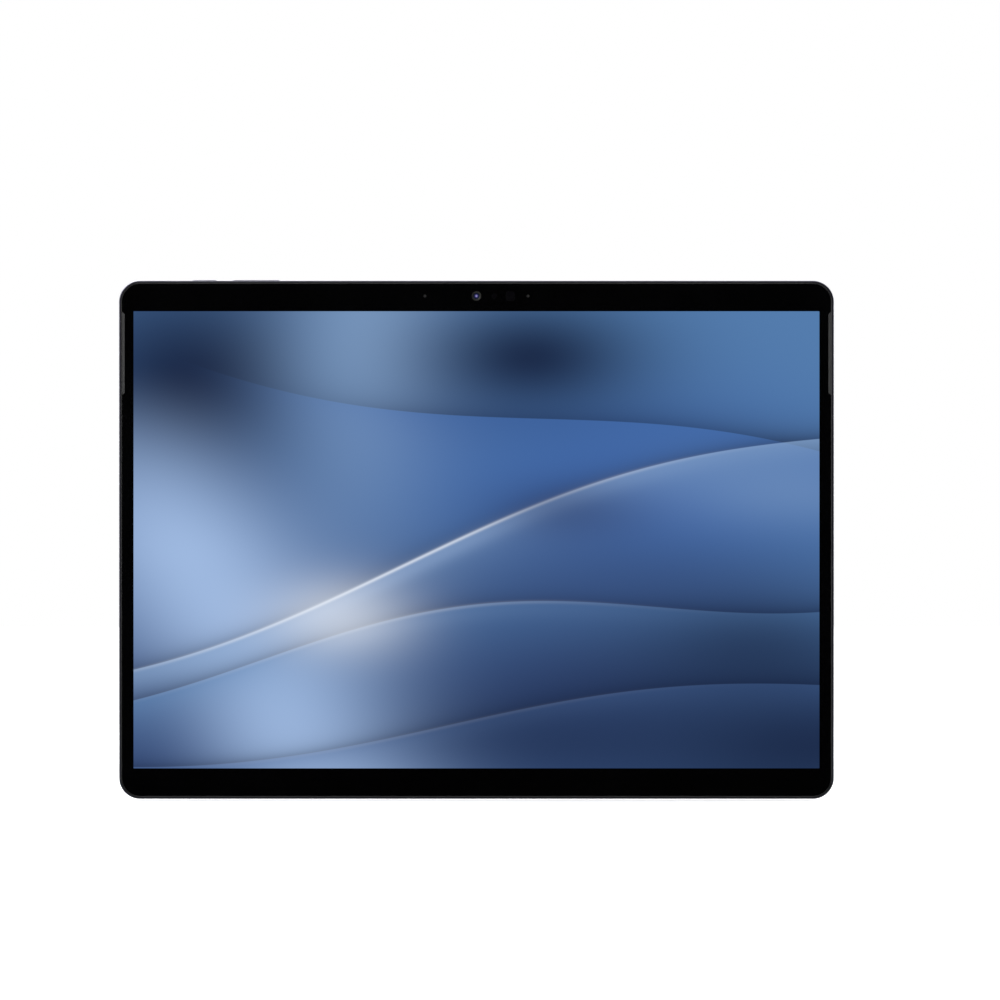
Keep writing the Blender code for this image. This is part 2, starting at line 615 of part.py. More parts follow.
def rear_camera(parent):
    """The chrome ring let into the back, the rings and window inside it, and the camera module."""
    centre = (CAMERA_X, 0, CAMERA_Z)
    crown = BACK + RING_PROUD
    lip_back = BAY_WALL - BOND_GAP
    lip_front = lip_back - RING_LIP_THICKNESS
    inner = RING_RADIUS - RING_WIDTH
    ring = [
        (inner, lip_front),
        (RING_LIP_RADIUS, lip_front),
        (RING_LIP_RADIUS, lip_back),
        (RING_RADIUS, lip_back),
        (RING_RADIUS, crown - RING_EDGE),
        (RING_RADIUS - RING_EDGE, crown),
        (inner + RING_EDGE, crown),
        (inner, crown - RING_EDGE),
    ]
    turned("rear_camera_ring", ring, centre, parent, "chrome")
    cone_outer = inner - BOND_GAP
    cone_inner = cone_outer - CONE_WIDTH
    cone_top = crown - REST_GAP
    cone = [(cone_inner, lip_front), (cone_outer, lip_front), (cone_outer, cone_top),
            (cone_inner, cone_top - CONE_DROP)]
    turned("rear_camera_bezel", cone, centre, parent, "black_gloss")
    trim_top = BACK + TRIM_PROUD
    trim = [(TRIM_INNER, lip_back), (TRIM_OUTER, lip_back), (TRIM_OUTER, trim_top), (TRIM_INNER, trim_top)]
    turned("rear_camera_trim", trim, centre, parent, "satin_steel")
    window_back = trim_top - WINDOW_RECESS
    window_front = window_back - WINDOW_THICKNESS
    window = rod_profile(TRIM_INNER - BOND_GAP, window_front, window_back)
    turned("rear_camera_window", window, centre, parent, "lens_glass")
    camera_module(window_front - BOND_GAP, lip_front - BOND_GAP, lip_back - BOND_GAP, parent)


def camera_module(barrel_top, box_top, neck_top, parent):
    x = around(CAMERA_X, CAMERA_BOX)
    z = around(CAMERA_Z, CAMERA_BOX)
    module = block("rear_camera_module", x, (BAY_FRONT, box_top), z, parent, "black_plastic", PART_GAP)
    barrel = [
        (0.0, BAY_FRONT + PART_GAP),
        (CAMERA_NECK_RADIUS, BAY_FRONT + PART_GAP),
        (CAMERA_NECK_RADIUS, neck_top),
        (CAMERA_BARREL_RADIUS, neck_top),
        (CAMERA_BARREL_RADIUS, barrel_top),
        (0.0, barrel_top),
    ]
    join(module, turned("camera_barrel_tool", barrel, (CAMERA_X, 0, CAMERA_Z), parent, steps=BARREL_STEPS))
    cable_x = (x[1] + BOND_GAP, -BOARD_HALF + BOARD_SCREW_END_INSET)
    cable_z = around(CAMERA_Z - CABLE_WIDTH / 4, CABLE_WIDTH / 2)
    block("rear_camera_cable", cable_x, (CABLE_FRONT, CABLE_BACK), cable_z, parent, "flex_cable")


def sensor_row(parent):
    """The front camera, microphones and sensors on one narrow board behind the top bezel."""
    z = around(SENSOR_Z, SENSOR_BOARD_HEIGHT)
    block("front_sensor_board", around(0, SENSOR_BOARD_LENGTH), (SENSOR_BOARD_FRONT, SENSOR_BOARD_BACK), z,
          parent, "circuit_board")
    camera_y = (SENSOR_BACK - SENSOR_BOARD_THICKNESS, SENSOR_BACK)
    camera = block("front_camera_module", around(0, FRONT_CAMERA_SIZE), camera_y,
                   around(SENSOR_Z, FRONT_CAMERA_SIZE), parent, "black_plastic")
    join(camera, rods("front_barrel_tool", [(0, SENSOR_Z)], FRONT_CAMERA_RADIUS, GLASS_BACK + BOND_GAP,
                      SENSOR_BACK - SENSOR_BOARD_THICKNESS / 2, parent, BARREL_STEPS))
    small = (
        ("microphone_left", -MICROPHONE_OFFSET, MICROPHONE_SIZE, "satin_steel"),
        ("microphone_right", MICROPHONE_OFFSET, MICROPHONE_SIZE, "satin_steel"),
        ("light_sensor", LIGHT_SENSOR_OFFSET, LIGHT_SENSOR_SIZE, "lens_glass"),
        ("proximity_sensor", PROXIMITY_OFFSET, PROXIMITY_SIZE, "lens_glass"),
    )
    y = (FLANGE_FRONT, SENSOR_BACK)
    for name, x, (width, height), finish in small:
        block(name, around(x, width), y, around(SENSOR_Z, height), parent, finish)
    for side, word in ((-1, "left"), (1, "right")):
        x = tuple(sorted((side * ANTENNA_OUTER_X, side * (ANTENNA_OUTER_X - ANTENNA_LENGTH))))
        antenna_y = (SENSOR_BOARD_BACK - ANTENNA_THICKNESS, SENSOR_BOARD_BACK)
        block(f"antenna_{word}", x, antenna_y, z, parent, "flex_cable")


def sensor_cable_path():
    """From the sensor board's back, through the mid-frame, to the front of the main board."""
    middle = (BACKLIGHT_BACK + MID_FRONT) / 2
    board = (CABLE_FRONT + CABLE_BACK) / 2
    low = BOARD_Z[1] - SENSOR_CABLE_REACH
    bend = (middle, SENSOR_Z - SENSOR_CABLE_STRAIGHT), (board, low + SENSOR_CABLE_STRAIGHT)
    return [(middle, SENSOR_Z), *bend, (board, low)]


def sensor_cable_slot():
    path = sensor_cable_path()
    return path[2][1] + PART_GAP, path[1][1] + PART_GAP


def display_cable_x():
    """The display cable takes the last place in the centred row of shields."""
    return shield_row()["display_cable"]


def display_cable_path():
    middle = (BACKLIGHT_BACK + MID_FRONT) / 2
    board = (CABLE_FRONT + CABLE_BACK) / 2
    top = BOARD_Z[1] - SHIELD_FROM_TOP
    bend_start, bend_end, low = (top - drop for drop in DISPLAY_CABLE_DROPS)
    return [(middle, top), (middle, bend_start), (board, bend_end), (board, low)]


def display_cable_slot():
    path = display_cable_path()
    return path[2][1] + PART_GAP, path[1][1] + PART_GAP


def cables(parent):
    strip("front_sensor_cable", sensor_cable_path(), CABLE_WIDTH, (0, 0, 0), parent, "flex_cable")
    x = display_cable_x()
    strip("display_cable", display_cable_path(), DISPLAY_CABLE_WIDTH, (x, 0, 0), parent, "flex_cable")
    z = (BATTERY_BOARD_TOP - BATTERY_BOARD_HEIGHT / 2, BOARD_Z[0] + CABLE_WIDTH)
    block("battery_cable", around(0, 2 * CABLE_WIDTH), (CABLE_FRONT, CABLE_BACK), z, parent, "flex_cable")
    port_edge = port_board_limits()[1]
    x = (port_edge - BOARD_SCREW_END_INSET, -BOARD_HALF + BOARD_SCREW_END_INSET)
    block("port_cable", x, (CABLE_FRONT, CABLE_BACK), around(PORT_Z, CABLE_WIDTH), parent, "flex_cable")


def plunger(name, x, low, parent):
    high = INNER_TOP - KEY_FLANGE_THICKNESS
    return block(name, around(x, PLUNGER_LENGTH), around(BAY_MIDDLE, PLUNGER_LENGTH), (low, high), parent)


def key(name, x, length, stop_gap, pivot_z, parent):
    """A pill-shaped key through the top wall, with a flange that keeps it from falling out."""
    y = around(BAY_MIDDLE, KEY_WIDTH)
    flange_top = INNER_TOP - stop_gap
    size = (length, KEY_WIDTH, BODY_HEIGHT + KEY_PROUD - flange_top + BOND_GAP)
    bm = block_bmesh(size, KEY_WIDTH / 2 * FULL_ROUND, axis=2)
    top = [edge for edge in bm.edges if all(v.co.z > size[2] / 2 - NEAR for v in edge.verts)]
    round_edges(bm, top, KEY_PROUD * KEY_CHAMFER_SHARE, 1)
    bmesh.ops.translate(bm, verts=bm.verts, vec=(0, 0, flange_top - BOND_GAP + size[2] / 2 - pivot_z))
    made = place(bm, name, (x, BAY_MIDDLE, pivot_z), parent, "key_aluminium")
    flange_z = (flange_top - KEY_FLANGE_THICKNESS, flange_top)
    flange_x = around(x, length + 2 * KEY_FLANGE)
    join(made, block(f"{name}_flange_tool", flange_x, y, flange_z, parent))
    return made


def keys(parent):
    power_flange = INNER_TOP - KEY_STOP_GAP - KEY_FLANGE_THICKNESS
    power = key("power_button", POWER_X, POWER_LENGTH, KEY_STOP_GAP, power_flange, parent)
    press_gap = POWER_TRAVEL + BOND_GAP / 2
    join(power, plunger("power_plunger_tool", POWER_X, SWITCH_TOP + press_gap, parent))
    rocker = key("volume_rocker", ROCKER_X, ROCKER_LENGTH, ROCKER_LIFT_GAP, ROCKER_PIVOT_Z, parent)
    reach = ROCKER_PLUNGER_OFFSET + PLUNGER_LENGTH / 2
    press_gap = reach * math.tan(math.radians(ROCKER_SWING_DEG)) + BOND_GAP / 2
    for side, word in ((-1, "left"), (1, "right")):
        x = ROCKER_X + side * ROCKER_PLUNGER_OFFSET
        join(rocker, plunger(f"rocker_plunger_tool_{word}", x, SWITCH_TOP + press_gap, parent))


def key_switches(parent):
    """Three switches on a flat cable, on the shelf of a bracket that is screwed to the housing."""
    y = around(BAY_MIDDLE, SWITCH_WIDTH)
    places = (
        ("power_switch", POWER_X),
        ("volume_down_switch", ROCKER_X - ROCKER_PLUNGER_OFFSET),
        ("volume_up_switch", ROCKER_X + ROCKER_PLUNGER_OFFSET),
    )
    for name, x in places:
        block(name, around(x, SWITCH_LENGTH), y, (SWITCH_BOTTOM, SWITCH_TOP), parent, "satin_steel")
    shelf_y = (BAY_MIDDLE - KEY_WIDTH / 2, BOARD_BACK)
    shelf_x = (EAR_LEFT_X - BRACKET_EAR_WIDTH / 2, EAR_RIGHT_X + BRACKET_EAR_WIDTH / 2)
    shelf_z = (SHELF_TOP - BRACKET_THICKNESS, SHELF_TOP)
    bracket = block("button_bracket", shelf_x, shelf_y, shelf_z, parent, "satin_steel")
    for x, z in ear_screw_places():
        ear_z = (SHELF_TOP - BRACKET_EAR_DROP, SHELF_TOP - BRACKET_THICKNESS / 2)
        join(bracket, block(f"ear_tool_{x:.3f}", around(x, BRACKET_EAR_WIDTH), (BOARD_FRONT, BOARD_BACK),
                            ear_z, parent))
    y = (BOARD_FRONT - PART_GAP, BOARD_BACK + PART_GAP)
    cut(bracket, rods("ear_holes_tool", ear_screw_places(), SCREW_RADIUS + BOND_GAP, *y, parent))
    fulcrum_y = (BOARD_BACK - FULCRUM_THICKNESS, BOARD_BACK)
    fulcrum_z = (SHELF_TOP - BOND_GAP, ROCKER_PIVOT_Z - BOND_GAP)
    join(bracket, block("fulcrum_tool", around(ROCKER_X, FULCRUM_WIDTH), fulcrum_y, fulcrum_z, parent))
    key_cable(places[0][1] - SWITCH_LENGTH, places[2][1] + SWITCH_LENGTH, parent)


def key_cable(left, right, parent):
    """The switches' flat cable, with a tail that turns down past the shelf to the main board."""
    front = BAY_MIDDLE - KEY_WIDTH / 2 - 2 * BOND_GAP
    z = (KEY_CABLE_TOP - CABLE_THICKNESS, KEY_CABLE_TOP)
    y = (front - CABLE_THICKNESS, BOARD_BACK - FULCRUM_THICKNESS - BOND_GAP)
    cable = block("button_cable", (left, right), y, z, parent, "flex_cable")
    board = (CABLE_FRONT + CABLE_BACK) / 2
    low = BOARD_Z[1]
    path = [(front - CABLE_THICKNESS / 2, KEY_CABLE_TOP - CABLE_THICKNESS / 4),
            (front - CABLE_THICKNESS / 2, low + CABLE_WIDTH / 2), (board, low), (board, low - CABLE_WIDTH)]
    middle = (POWER_X + ROCKER_X) / 2
    join(cable, strip("button_tail_tool", path, CABLE_WIDTH / 2, (middle, 0, 0), parent))


def port_board_limits():
    left = -BODY_WIDTH / 2 + PORT_RECESS + PORT_DEPTH + REST_GAP
    return left, left + PORT_BOARD_WIDTH


def port(parent):
    """The steel shell let into the side wall, its contact tongue, and the small board behind it."""
    x = side_limits(-1, PORT_RECESS, PORT_RECESS + PORT_DEPTH)
    shell = block("port_shell", x, around(BAY_MIDDLE, PORT_HEIGHT), around(PORT_Z, PORT_LENGTH), parent,
                  "satin_steel", PORT_HEIGHT / 2 * FULL_ROUND, axis=0)
    inner_height = PORT_HEIGHT - 2 * PORT_SHELL
    inner_length = PORT_LENGTH - 2 * PORT_SHELL
    through = (x[0] - PART_GAP, x[1] + PART_GAP)
    cut(shell, block("port_socket_tool", through, around(BAY_MIDDLE, inner_height),
                     around(PORT_Z, inner_length), parent, None, inner_height / 2 * FULL_ROUND, axis=0))
    base_height = inner_height - 2 * BOND_GAP
    base = block("port_tongue", (x[1] - TONGUE_BASE, x[1]), around(BAY_MIDDLE, base_height),
                 around(PORT_Z, inner_length - 2 * BOND_GAP), parent, "black_plastic",
                 base_height / 2 * FULL_ROUND, axis=0)
    tongue_x = (x[0] + TONGUE_RECESS, x[1] - TONGUE_BASE / 2)
    join(base, block("tongue_tool", tongue_x, around(BAY_MIDDLE, TONGUE_THICKNESS),
                     around(PORT_Z, TONGUE_WIDTH), parent))
    block("port_board", port_board_limits(), (BOARD_FRONT, BOARD_BACK), around(PORT_Z, PORT_BOARD_HEIGHT),
          parent, "circuit_board")


def shield_sizes():
    return {
        "radio_shield": RADIO_SHIELD,
        "power_shield": POWER_SHIELD,
        "processor_shield": PROCESSOR_SHIELD,
        "memory_shield": MEMORY_SHIELD,
        "display_cable": (DISPLAY_CABLE_WIDTH, 0.0),
    }


def shield_row():
    """The X centre of each shield and of the display cable, side by side about the middle."""
    sizes = shield_sizes()
    total = sum(width for width, _ in sizes.values()) + SHIELD_GAP * (len(sizes) - 1)
    centres, edge = {}, -total / 2
    for name, (width, _) in sizes.items():
        centres[name] = edge + width / 2
        edge += width + SHIELD_GAP
    return centres


def main_board(parent):
    """The main board with its screws' holes, its shield cans and the heat spreader over them."""
    board = block("main_board", (-BOARD_HALF, BOARD_HALF), (BOARD_FRONT, BOARD_BACK), BOARD_Z, parent,
                  "circuit_board", PART_GAP)
    y = (BOARD_FRONT - PART_GAP, BOARD_BACK + PART_GAP)
    cut(board, rods("board_holes_tool", board_screw_places(), SCREW_RADIUS + BOND_GAP, *y, parent))
    top = BOARD_Z[1] - SHIELD_FROM_TOP
    shield_y = (SPREADER_BACK + BOND_GAP, BOARD_FRONT - BOND_GAP)
    centres = shield_row()
    for name, (width, height) in shield_sizes().items():
        if height:
            block(name, around(centres[name], width), shield_y, (top - height, top), parent,
                  "shield_steel", PART_GAP)
    left = centres["power_shield"] - POWER_SHIELD[0] / 2 + SPREADER_MARGIN
    right = centres["memory_shield"] + MEMORY_SHIELD[0] / 2 - SPREADER_MARGIN
    z = (top - PROCESSOR_SHIELD[1] + SPREADER_MARGIN, top - SPREADER_MARGIN)
    block("heat_spreader", (left, right), (SPREADER_FRONT, SPREADER_BACK), z, parent, "copper")


def battery(parent):
    """Two pouch cells side by side, and the narrow protection board above them."""
    inner, outer = PART_GAP, BODY_WIDTH / 2 - BATTERY_SIDE_INSET
    z = (BATTERY_BOTTOM_INSET, BATTERY_TOP)
    for side, word in ((-1, "left"), (1, "right")):
        x = tuple(sorted((side * inner, side * outer)))
        block(f"battery_cell_{word}", x, (BAY_FRONT, BAY_BACK), z, parent, "battery_foil", PART_GAP)
    z = (BATTERY_BOARD_TOP - BATTERY_BOARD_HEIGHT, BATTERY_BOARD_TOP)
    block("battery_board", around(0, BATTERY_BOARD_LENGTH), (BOARD_FRONT, BOARD_BACK), z, parent,
          "circuit_board")


def assembly(name):
    empty = bpy.data.objects.new(name, None)
    bpy.context.scene.collection.objects.link(empty)
    return empty


def build():
    clear_scene()
    tablet = assembly("tablet")
    rear_housing(tablet)
    glass_frame(tablet)
    display_tape(tablet)
    cover_glass(tablet)
    display_panel(tablet)
    mid_frame(tablet)
    for side, word in ((-1, "left"), (1, "right")):
        speaker(word, side, tablet)
    rear_camera(tablet)
    sensor_row(tablet)
    keys(tablet)
    key_switches(tablet)
    port(tablet)
    main_board(tablet)
    battery(tablet)
    cables(tablet)
    screws(tablet)


build()
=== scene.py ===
"""The looks of a 13-inch-class tablet computer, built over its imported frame, in the order of its assembly.

Metres, +Z up, the screen towards -Y. Left and right are the viewer's, facing the screen.
"""
import math

import bmesh
import bpy
from mathutils import Matrix, Vector


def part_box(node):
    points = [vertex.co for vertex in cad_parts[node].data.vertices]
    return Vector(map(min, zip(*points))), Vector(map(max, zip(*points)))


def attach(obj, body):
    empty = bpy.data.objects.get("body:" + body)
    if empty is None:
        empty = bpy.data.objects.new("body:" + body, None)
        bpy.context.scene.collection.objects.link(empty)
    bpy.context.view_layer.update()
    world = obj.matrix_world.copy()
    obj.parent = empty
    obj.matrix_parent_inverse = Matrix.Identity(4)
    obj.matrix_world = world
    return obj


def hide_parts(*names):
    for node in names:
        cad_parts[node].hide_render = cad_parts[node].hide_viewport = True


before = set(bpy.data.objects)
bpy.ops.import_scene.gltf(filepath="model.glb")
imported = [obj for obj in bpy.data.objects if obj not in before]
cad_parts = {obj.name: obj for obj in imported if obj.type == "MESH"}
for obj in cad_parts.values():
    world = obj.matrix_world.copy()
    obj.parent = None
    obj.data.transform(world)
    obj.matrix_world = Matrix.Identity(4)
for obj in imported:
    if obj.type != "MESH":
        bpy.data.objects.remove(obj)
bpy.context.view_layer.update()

BODY = "tablet"
MM = 0.001
ALIGNED = 0.999  # how nearly an edge runs along an axis to count as along it
FULL_ROUND = 0.999  # a round end takes just under half of a width
NEAR = 1e-6
SAME_POINT = 1e-7


def spot(node):
    """A CAD node's lowest corner, highest corner and middle."""
    low, high = (Vector(corner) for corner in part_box(node))
    return low, high, (low + high) / 2


# ---------------------------------------------------------------------------------------------------
# The studio. A plain pale floor under the tablet, white all round, and a dark card behind the camera
# that keeps the glass black. Soft lamps stand above the front left, overhead and behind the tablet.
# ---------------------------------------------------------------------------------------------------
FLOOR_SIZE = 12.0
FLOOR_DROP = 0.0005
FLOOR_TONE, FLOOR_GLOW = 0.80, 0.42  # its paint, and its own light close to the tablet
VIEW_WIDTH = 0.3995  # what the picture spans at the front face
VIEW_SIDE, VIEW_RISE = 0.0094, 0.0159  # the picture's middle, from the middle of the front face
LENS, SENSOR = 400.0, 36.0
FAR_CLIP = 50.0

housing_low, housing_high, housing_middle = spot("rear_housing")


def lamp(name, place, width, height, power):
    """A soft box that faces the tablet's middle."""
    light = bpy.data.lights.new(name, "AREA")
    light.shape = "RECTANGLE"
    light.size = width
    light.size_y = height
    light.energy = power
    made = bpy.data.objects.new(name, light)
    bpy.context.scene.collection.objects.link(made)
    made.location = place
    made.visible_camera = False
    made.rotation_euler = (housing_middle - Vector(place)).to_track_quat("-Z", "Y").to_euler()
    return made


lamp("front_key", (-1.2, -0.7, 1.2), 0.9, 0.9, 16.0)
lamp("top_fill", (0.3, 0.3, 1.8), 1.2, 1.2, 8.0)
lamp("back_key", (-0.40, 1.05, 0.85), 0.35, 1.0, 12.3)
lamp("back_strip_left", (1.30, 1.05, 0.45), 0.12, 0.9, 5.0)
lamp("back_strip_right", (-1.35, 1.05, -0.10), 0.12, 0.7, 4.0)

bpy.context.scene.view_settings.view_transform = "Standard"

camera = bpy.data.objects.new("camera", bpy.data.cameras.new("camera"))
camera.data.lens = LENS
camera.data.sensor_width = SENSOR
camera.data.clip_end = FAR_CLIP
reach = VIEW_WIDTH * LENS / SENSOR
camera.location = (housing_middle.x + VIEW_SIDE, housing_low.y - reach, housing_middle.z + VIEW_RISE)
camera.rotation_euler = (math.pi / 2, 0, 0)
bpy.context.scene.collection.objects.link(camera)
bpy.context.scene.camera = camera


class Wire:
    """An output of a node. Arithmetic on wires adds Math nodes, and node() adds any other node."""

    def __init__(self, tree, socket=None):
        self.tree = tree
        self.socket = socket

    def node(self, kind, settings=(), inputs=(), out=0):
        made = self.tree.nodes.new(kind)
        for key, value in dict(settings).items():
            if key == "stops":
                self.set_stops(made.color_ramp.elements, value)
            else:
                setattr(made, key, value)
        for key, value in dict(inputs).items():
            if isinstance(value, Wire):
                self.tree.links.new(value.socket, made.inputs[key])
            else:
                made.inputs[key].default_value = value
        return Wire(self.tree, made.outputs[out] if made.outputs else None)

    @staticmethod
    def set_stops(elements, stops):
        while len(elements) < len(stops):
            elements.new(1.0)
        for element, (position, colour) in zip(elements, stops):
            element.position = position
            element.color = (*colour, 1.0)

    def maths(self, operation, *values):
        """A Math node of these values, or of this wire alone."""
        inputs = dict(enumerate(values or (self,)))
        return self.node("ShaderNodeMath", {"operation": operation}, inputs)

    def __add__(self, other):
        return self.maths("ADD", self, other)

    def __radd__(self, other):
        return self.maths("ADD", other, self)

    def __sub__(self, other):
        return self.maths("SUBTRACT", self, other)

    def __rsub__(self, other):
        return self.maths("SUBTRACT", other, self)

    def __mul__(self, other):
        return self.maths("MULTIPLY", self, other)

    def __rmul__(self, other):
        return self.maths("MULTIPLY", other, self)

    def __truediv__(self, other):
        return self.maths("DIVIDE", self, other)

    def __pow__(self, other):
        return self.maths("POWER", self, other)

    def smooth(self, low, high, start=0.0, end=1.0):
        """Eases from start to end as this wire goes from low to high."""
        settings = {"interpolation_type": "SMOOTHSTEP"}
        inputs = {"Value": self, "From Min": low, "From Max": high, "To Min": start, "To Max": end}
        return self.node("ShaderNodeMapRange", settings, inputs)

    def mix(self, below, above):
        """The colour below where this wire is 0, and the colour above where it is 1."""
        inputs = {0: self, 6: colour_of(below), 7: colour_of(above)}
        return self.node("ShaderNodeMix", {"data_type": "RGBA"}, inputs, out=2)


def colour_of(value):
    return value if isinstance(value, Wire) else (*value, 1.0)


world = bpy.data.worlds.new("studio")
bpy.context.scene.world = world
world.use_nodes = True
world.node_tree.nodes.clear()
sky = Wire(world.node_tree)
way = sky.node("ShaderNodeSeparateXYZ", (), {0: sky.node("ShaderNodeTexCoord", out=0)})
way_x, way_y, way_z = (Wire(way.tree, output) for output in way.socket.node.outputs)
# the light that comes from each side, as reflections meet it; the camera sees plain white
card = (way_y * -1.0).smooth(0.35, 0.75)
above = way_z.smooth(0.05, 0.80, 0.0, 0.70)
left = way_x.smooth(-0.10, -0.80, 0.0, 0.55)
behind = way_y.smooth(0.15, 0.80, 0.0, 0.12)
bright = way_y.smooth(0.955, 0.99, 0.0, 0.25)
below = way_z.smooth(-0.15, -0.60, 0.0, 0.40) * way_y.smooth(0.0, 0.30)
quarter = (way_x.maths("ABSOLUTE") * 0.74 + way_y * 0.67).smooth(0.78, 1.0, 0.0, 0.50)
seen = sky.node("ShaderNodeLightPath", out=0)
glow = seen + (1.0 - seen) * (above + below + left + behind + bright + quarter + 0.12) * (1.0 - card)
shine = sky.node("ShaderNodeBackground", (), {"Color": (1.0, 1.0, 1.0, 1.0), "Strength": glow})
sky.node("ShaderNodeOutputWorld", (), {"Surface": shine})

bm = bmesh.new()
bmesh.ops.create_grid(bm, x_segments=1, y_segments=1, size=FLOOR_SIZE / 2,
                      matrix=Matrix.Translation((0, 0, -FLOOR_DROP)))
floor = bpy.data.objects.new("floor", bpy.data.meshes.new("floor"))
bm.to_mesh(floor.data)
bm.free()
bpy.context.scene.collection.objects.link(floor)
floor.visible_glossy = False
paper = bpy.data.materials.new("paper")
paper.use_nodes = True
sheet = paper.node_tree.nodes["Principled BSDF"].inputs
sheet["Base Color"].default_value = (FLOOR_TONE, FLOOR_TONE, FLOOR_TONE, 1.0)
sheet["Roughness"].default_value = 0.9
sheet["Emission Strength"].default_value = 1.0
ground = Wire(paper.node_tree).node("ShaderNodeTexCoord", out=3)
far = ground.node("ShaderNodeVectorMath", {"operation": "LENGTH"}, {0: ground}, out=1)
white = far.smooth(0.30, 1.30).mix((FLOOR_GLOW,) * 3, (1.0,) * 3)
paper.node_tree.links.new(white.socket, sheet["Emission Color"])
floor.data.materials.append(paper)


# ---------------------------------------------------------------------------------------------------
# Rear housing. One tray milled from an aluminium plate, bead-blasted and anodised lavender grey, with
# a rounded back edge. Its front lip is the thin rim round the glass.
# ---------------------------------------------------------------------------------------------------
CORNER = 8.4 * MM
RIM = 0.7 * MM
BACK_ROUND = 1.0 * MM
RIM_CHAMFER = 0.30 * MM
BAY_FLOOR = 1.0 * MM
SIDE_WALL = 2.0 * MM
KEY_GAP = 0.10 * MM
SMOOTH_ANGLE = math.radians(32)
CORNER_STEPS, BACK_STEPS, RIM_STEPS = 28, 8, 4


def along(edge, axis):
    run = (edge.verts[0].co - edge.verts[1].co).normalized()
    return abs(run[axis]) > ALIGNED


def rounded(bm, edges, radius, steps):
    return bmesh.ops.bevel(bm, geom=edges, offset=radius, offset_type="OFFSET", segments=steps,
                           profile=0.5, affect="EDGES", clamp_overlap=False, material=-1)


def slab(low, high, radius=0.0, axis=1, steps=8):
    """A block between two corners with its four edges along one axis rounded."""
    size = Vector(high) - Vector(low)
    middle = (Vector(high) + Vector(low)) / 2
    bm = bmesh.new()
    bmesh.ops.create_cube(bm, size=1.0, matrix=Matrix.Translation(middle) @ Matrix.Diagonal((*size, 1.0)))
    if radius:
        rounded(bm, [edge for edge in bm.edges if along(edge, axis)], radius, steps)
    return bm


def edges_at(bm, axis, value):
    """The outline edges of the flat face at a given place along an axis."""
    return [edge for edge in bm.edges if all(abs(v.co[axis] - value) < NEAR for v in edge.verts)]


def face_at(bm, axis, value):
    """The flat face at a given place along an axis."""
    flat = [face for face in bm.faces if all(abs(v.co[axis] - value) < NEAR for v in face.verts)]
    return max(flat, key=lambda face: face.calc_area())


def sink(bm, face, inset, move):
    """Inset a face, then push what is left of it, which leaves a step all round."""
    bmesh.ops.inset_region(bm, faces=[face], thickness=inset, use_even_offset=True, use_boundary=True)
    pushed = bmesh.ops.extrude_face_region(bm, geom=[face])["geom"]
    bmesh.ops.translate(bm, verts=[v for v in pushed if isinstance(v, bmesh.types.BMVert)], vec=move)
    if face.is_valid:
        bmesh.ops.delete(bm, geom=[face], context="FACES_ONLY")
    return next(item for item in pushed if isinstance(item, bmesh.types.BMFace))


def bare(bm, name):
    """A bmesh as an object that nothing rides on yet."""
    bmesh.ops.remove_doubles(bm, verts=bm.verts, dist=SAME_POINT)
    bmesh.ops.recalc_face_normals(bm, faces=bm.faces)
    made = bpy.data.objects.new(name, bpy.data.meshes.new(name))
    bm.to_mesh(made.data)
    bm.free()
    bpy.context.scene.collection.objects.link(made)
    return made


def pierced(bm, tools, operation="DIFFERENCE"):
    """Take tool shapes out of a shape, or add them to it, with its walls left clean."""
    target = bare(bm, "pierced")
    for shape in tools:
        tool = bare(shape, "tool")
        change = target.modifiers.new("cut", "BOOLEAN")
        change.operation = operation
        change.solver = "EXACT"
        change.object = tool
        depsgraph = bpy.context.evaluated_depsgraph_get()
        cut = bpy.data.meshes.new_from_object(target.evaluated_get(depsgraph))
        target.modifiers.clear()
        target.data = cut
        bpy.data.objects.remove(tool)
    result = bmesh.new()
    result.from_mesh(target.data)
    bpy.data.objects.remove(target)
    return result


def piece(bm, name, finish, nodes=(), body=BODY, sharp=SMOOTH_ANGLE):
    """A finished piece: faces out, smooth but for its sharp edges, and riding on a body."""
    made = bare(bm, name)
    made.data.materials.clear()
    made.data.materials.append(finish)
    made.data.shade_smooth()
    made.data.set_sharp_from_angle(angle=sharp)
    level = made.modifiers.new("level", "WEIGHTED_NORMAL")
    level.keep_sharp = True
    level.weight = 100
    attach(made, body)
    if nodes:
        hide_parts(*nodes)
    return made


def shader_of(name):
    """A new material: its shader node, and a wire with the piece's own coordinates."""
    material = bpy.data.materials.new(name)
    material.use_nodes = True
    shader = material.node_tree.nodes["Principled BSDF"]
    start = Wire(material.node_tree)
    return material, shader, start.node("ShaderNodeTexCoord", out=3)


def feed(shader, **values):
    """Set or link a shader's sockets, named with underscores for spaces."""
    for key, value in values.items():
        socket = shader.inputs[key.replace("_", " ")]
        if isinstance(value, Wire):
            value.tree.links.new(value.socket, socket)
        elif isinstance(value, tuple):
            socket.default_value = (*value, 1.0)
        else:
            socket.default_value = value


def noise(place, scale, detail=2.0, roughness=0.5):
    inputs = {"Vector": place, "Scale": scale, "Detail": detail, "Roughness": roughness}
    return place.node("ShaderNodeTexNoise", (), inputs)


def bumped(height, distance, strength=1.0):
    return height.node("ShaderNodeBump", (), {"Height": height, "Distance": distance, "Strength": strength})


def axes(place):
    """A place's three coordinates."""
    split = place.node("ShaderNodeSeparateXYZ", (), {0: place}).socket.node
    return [Wire(place.tree, output) for output in split.outputs]


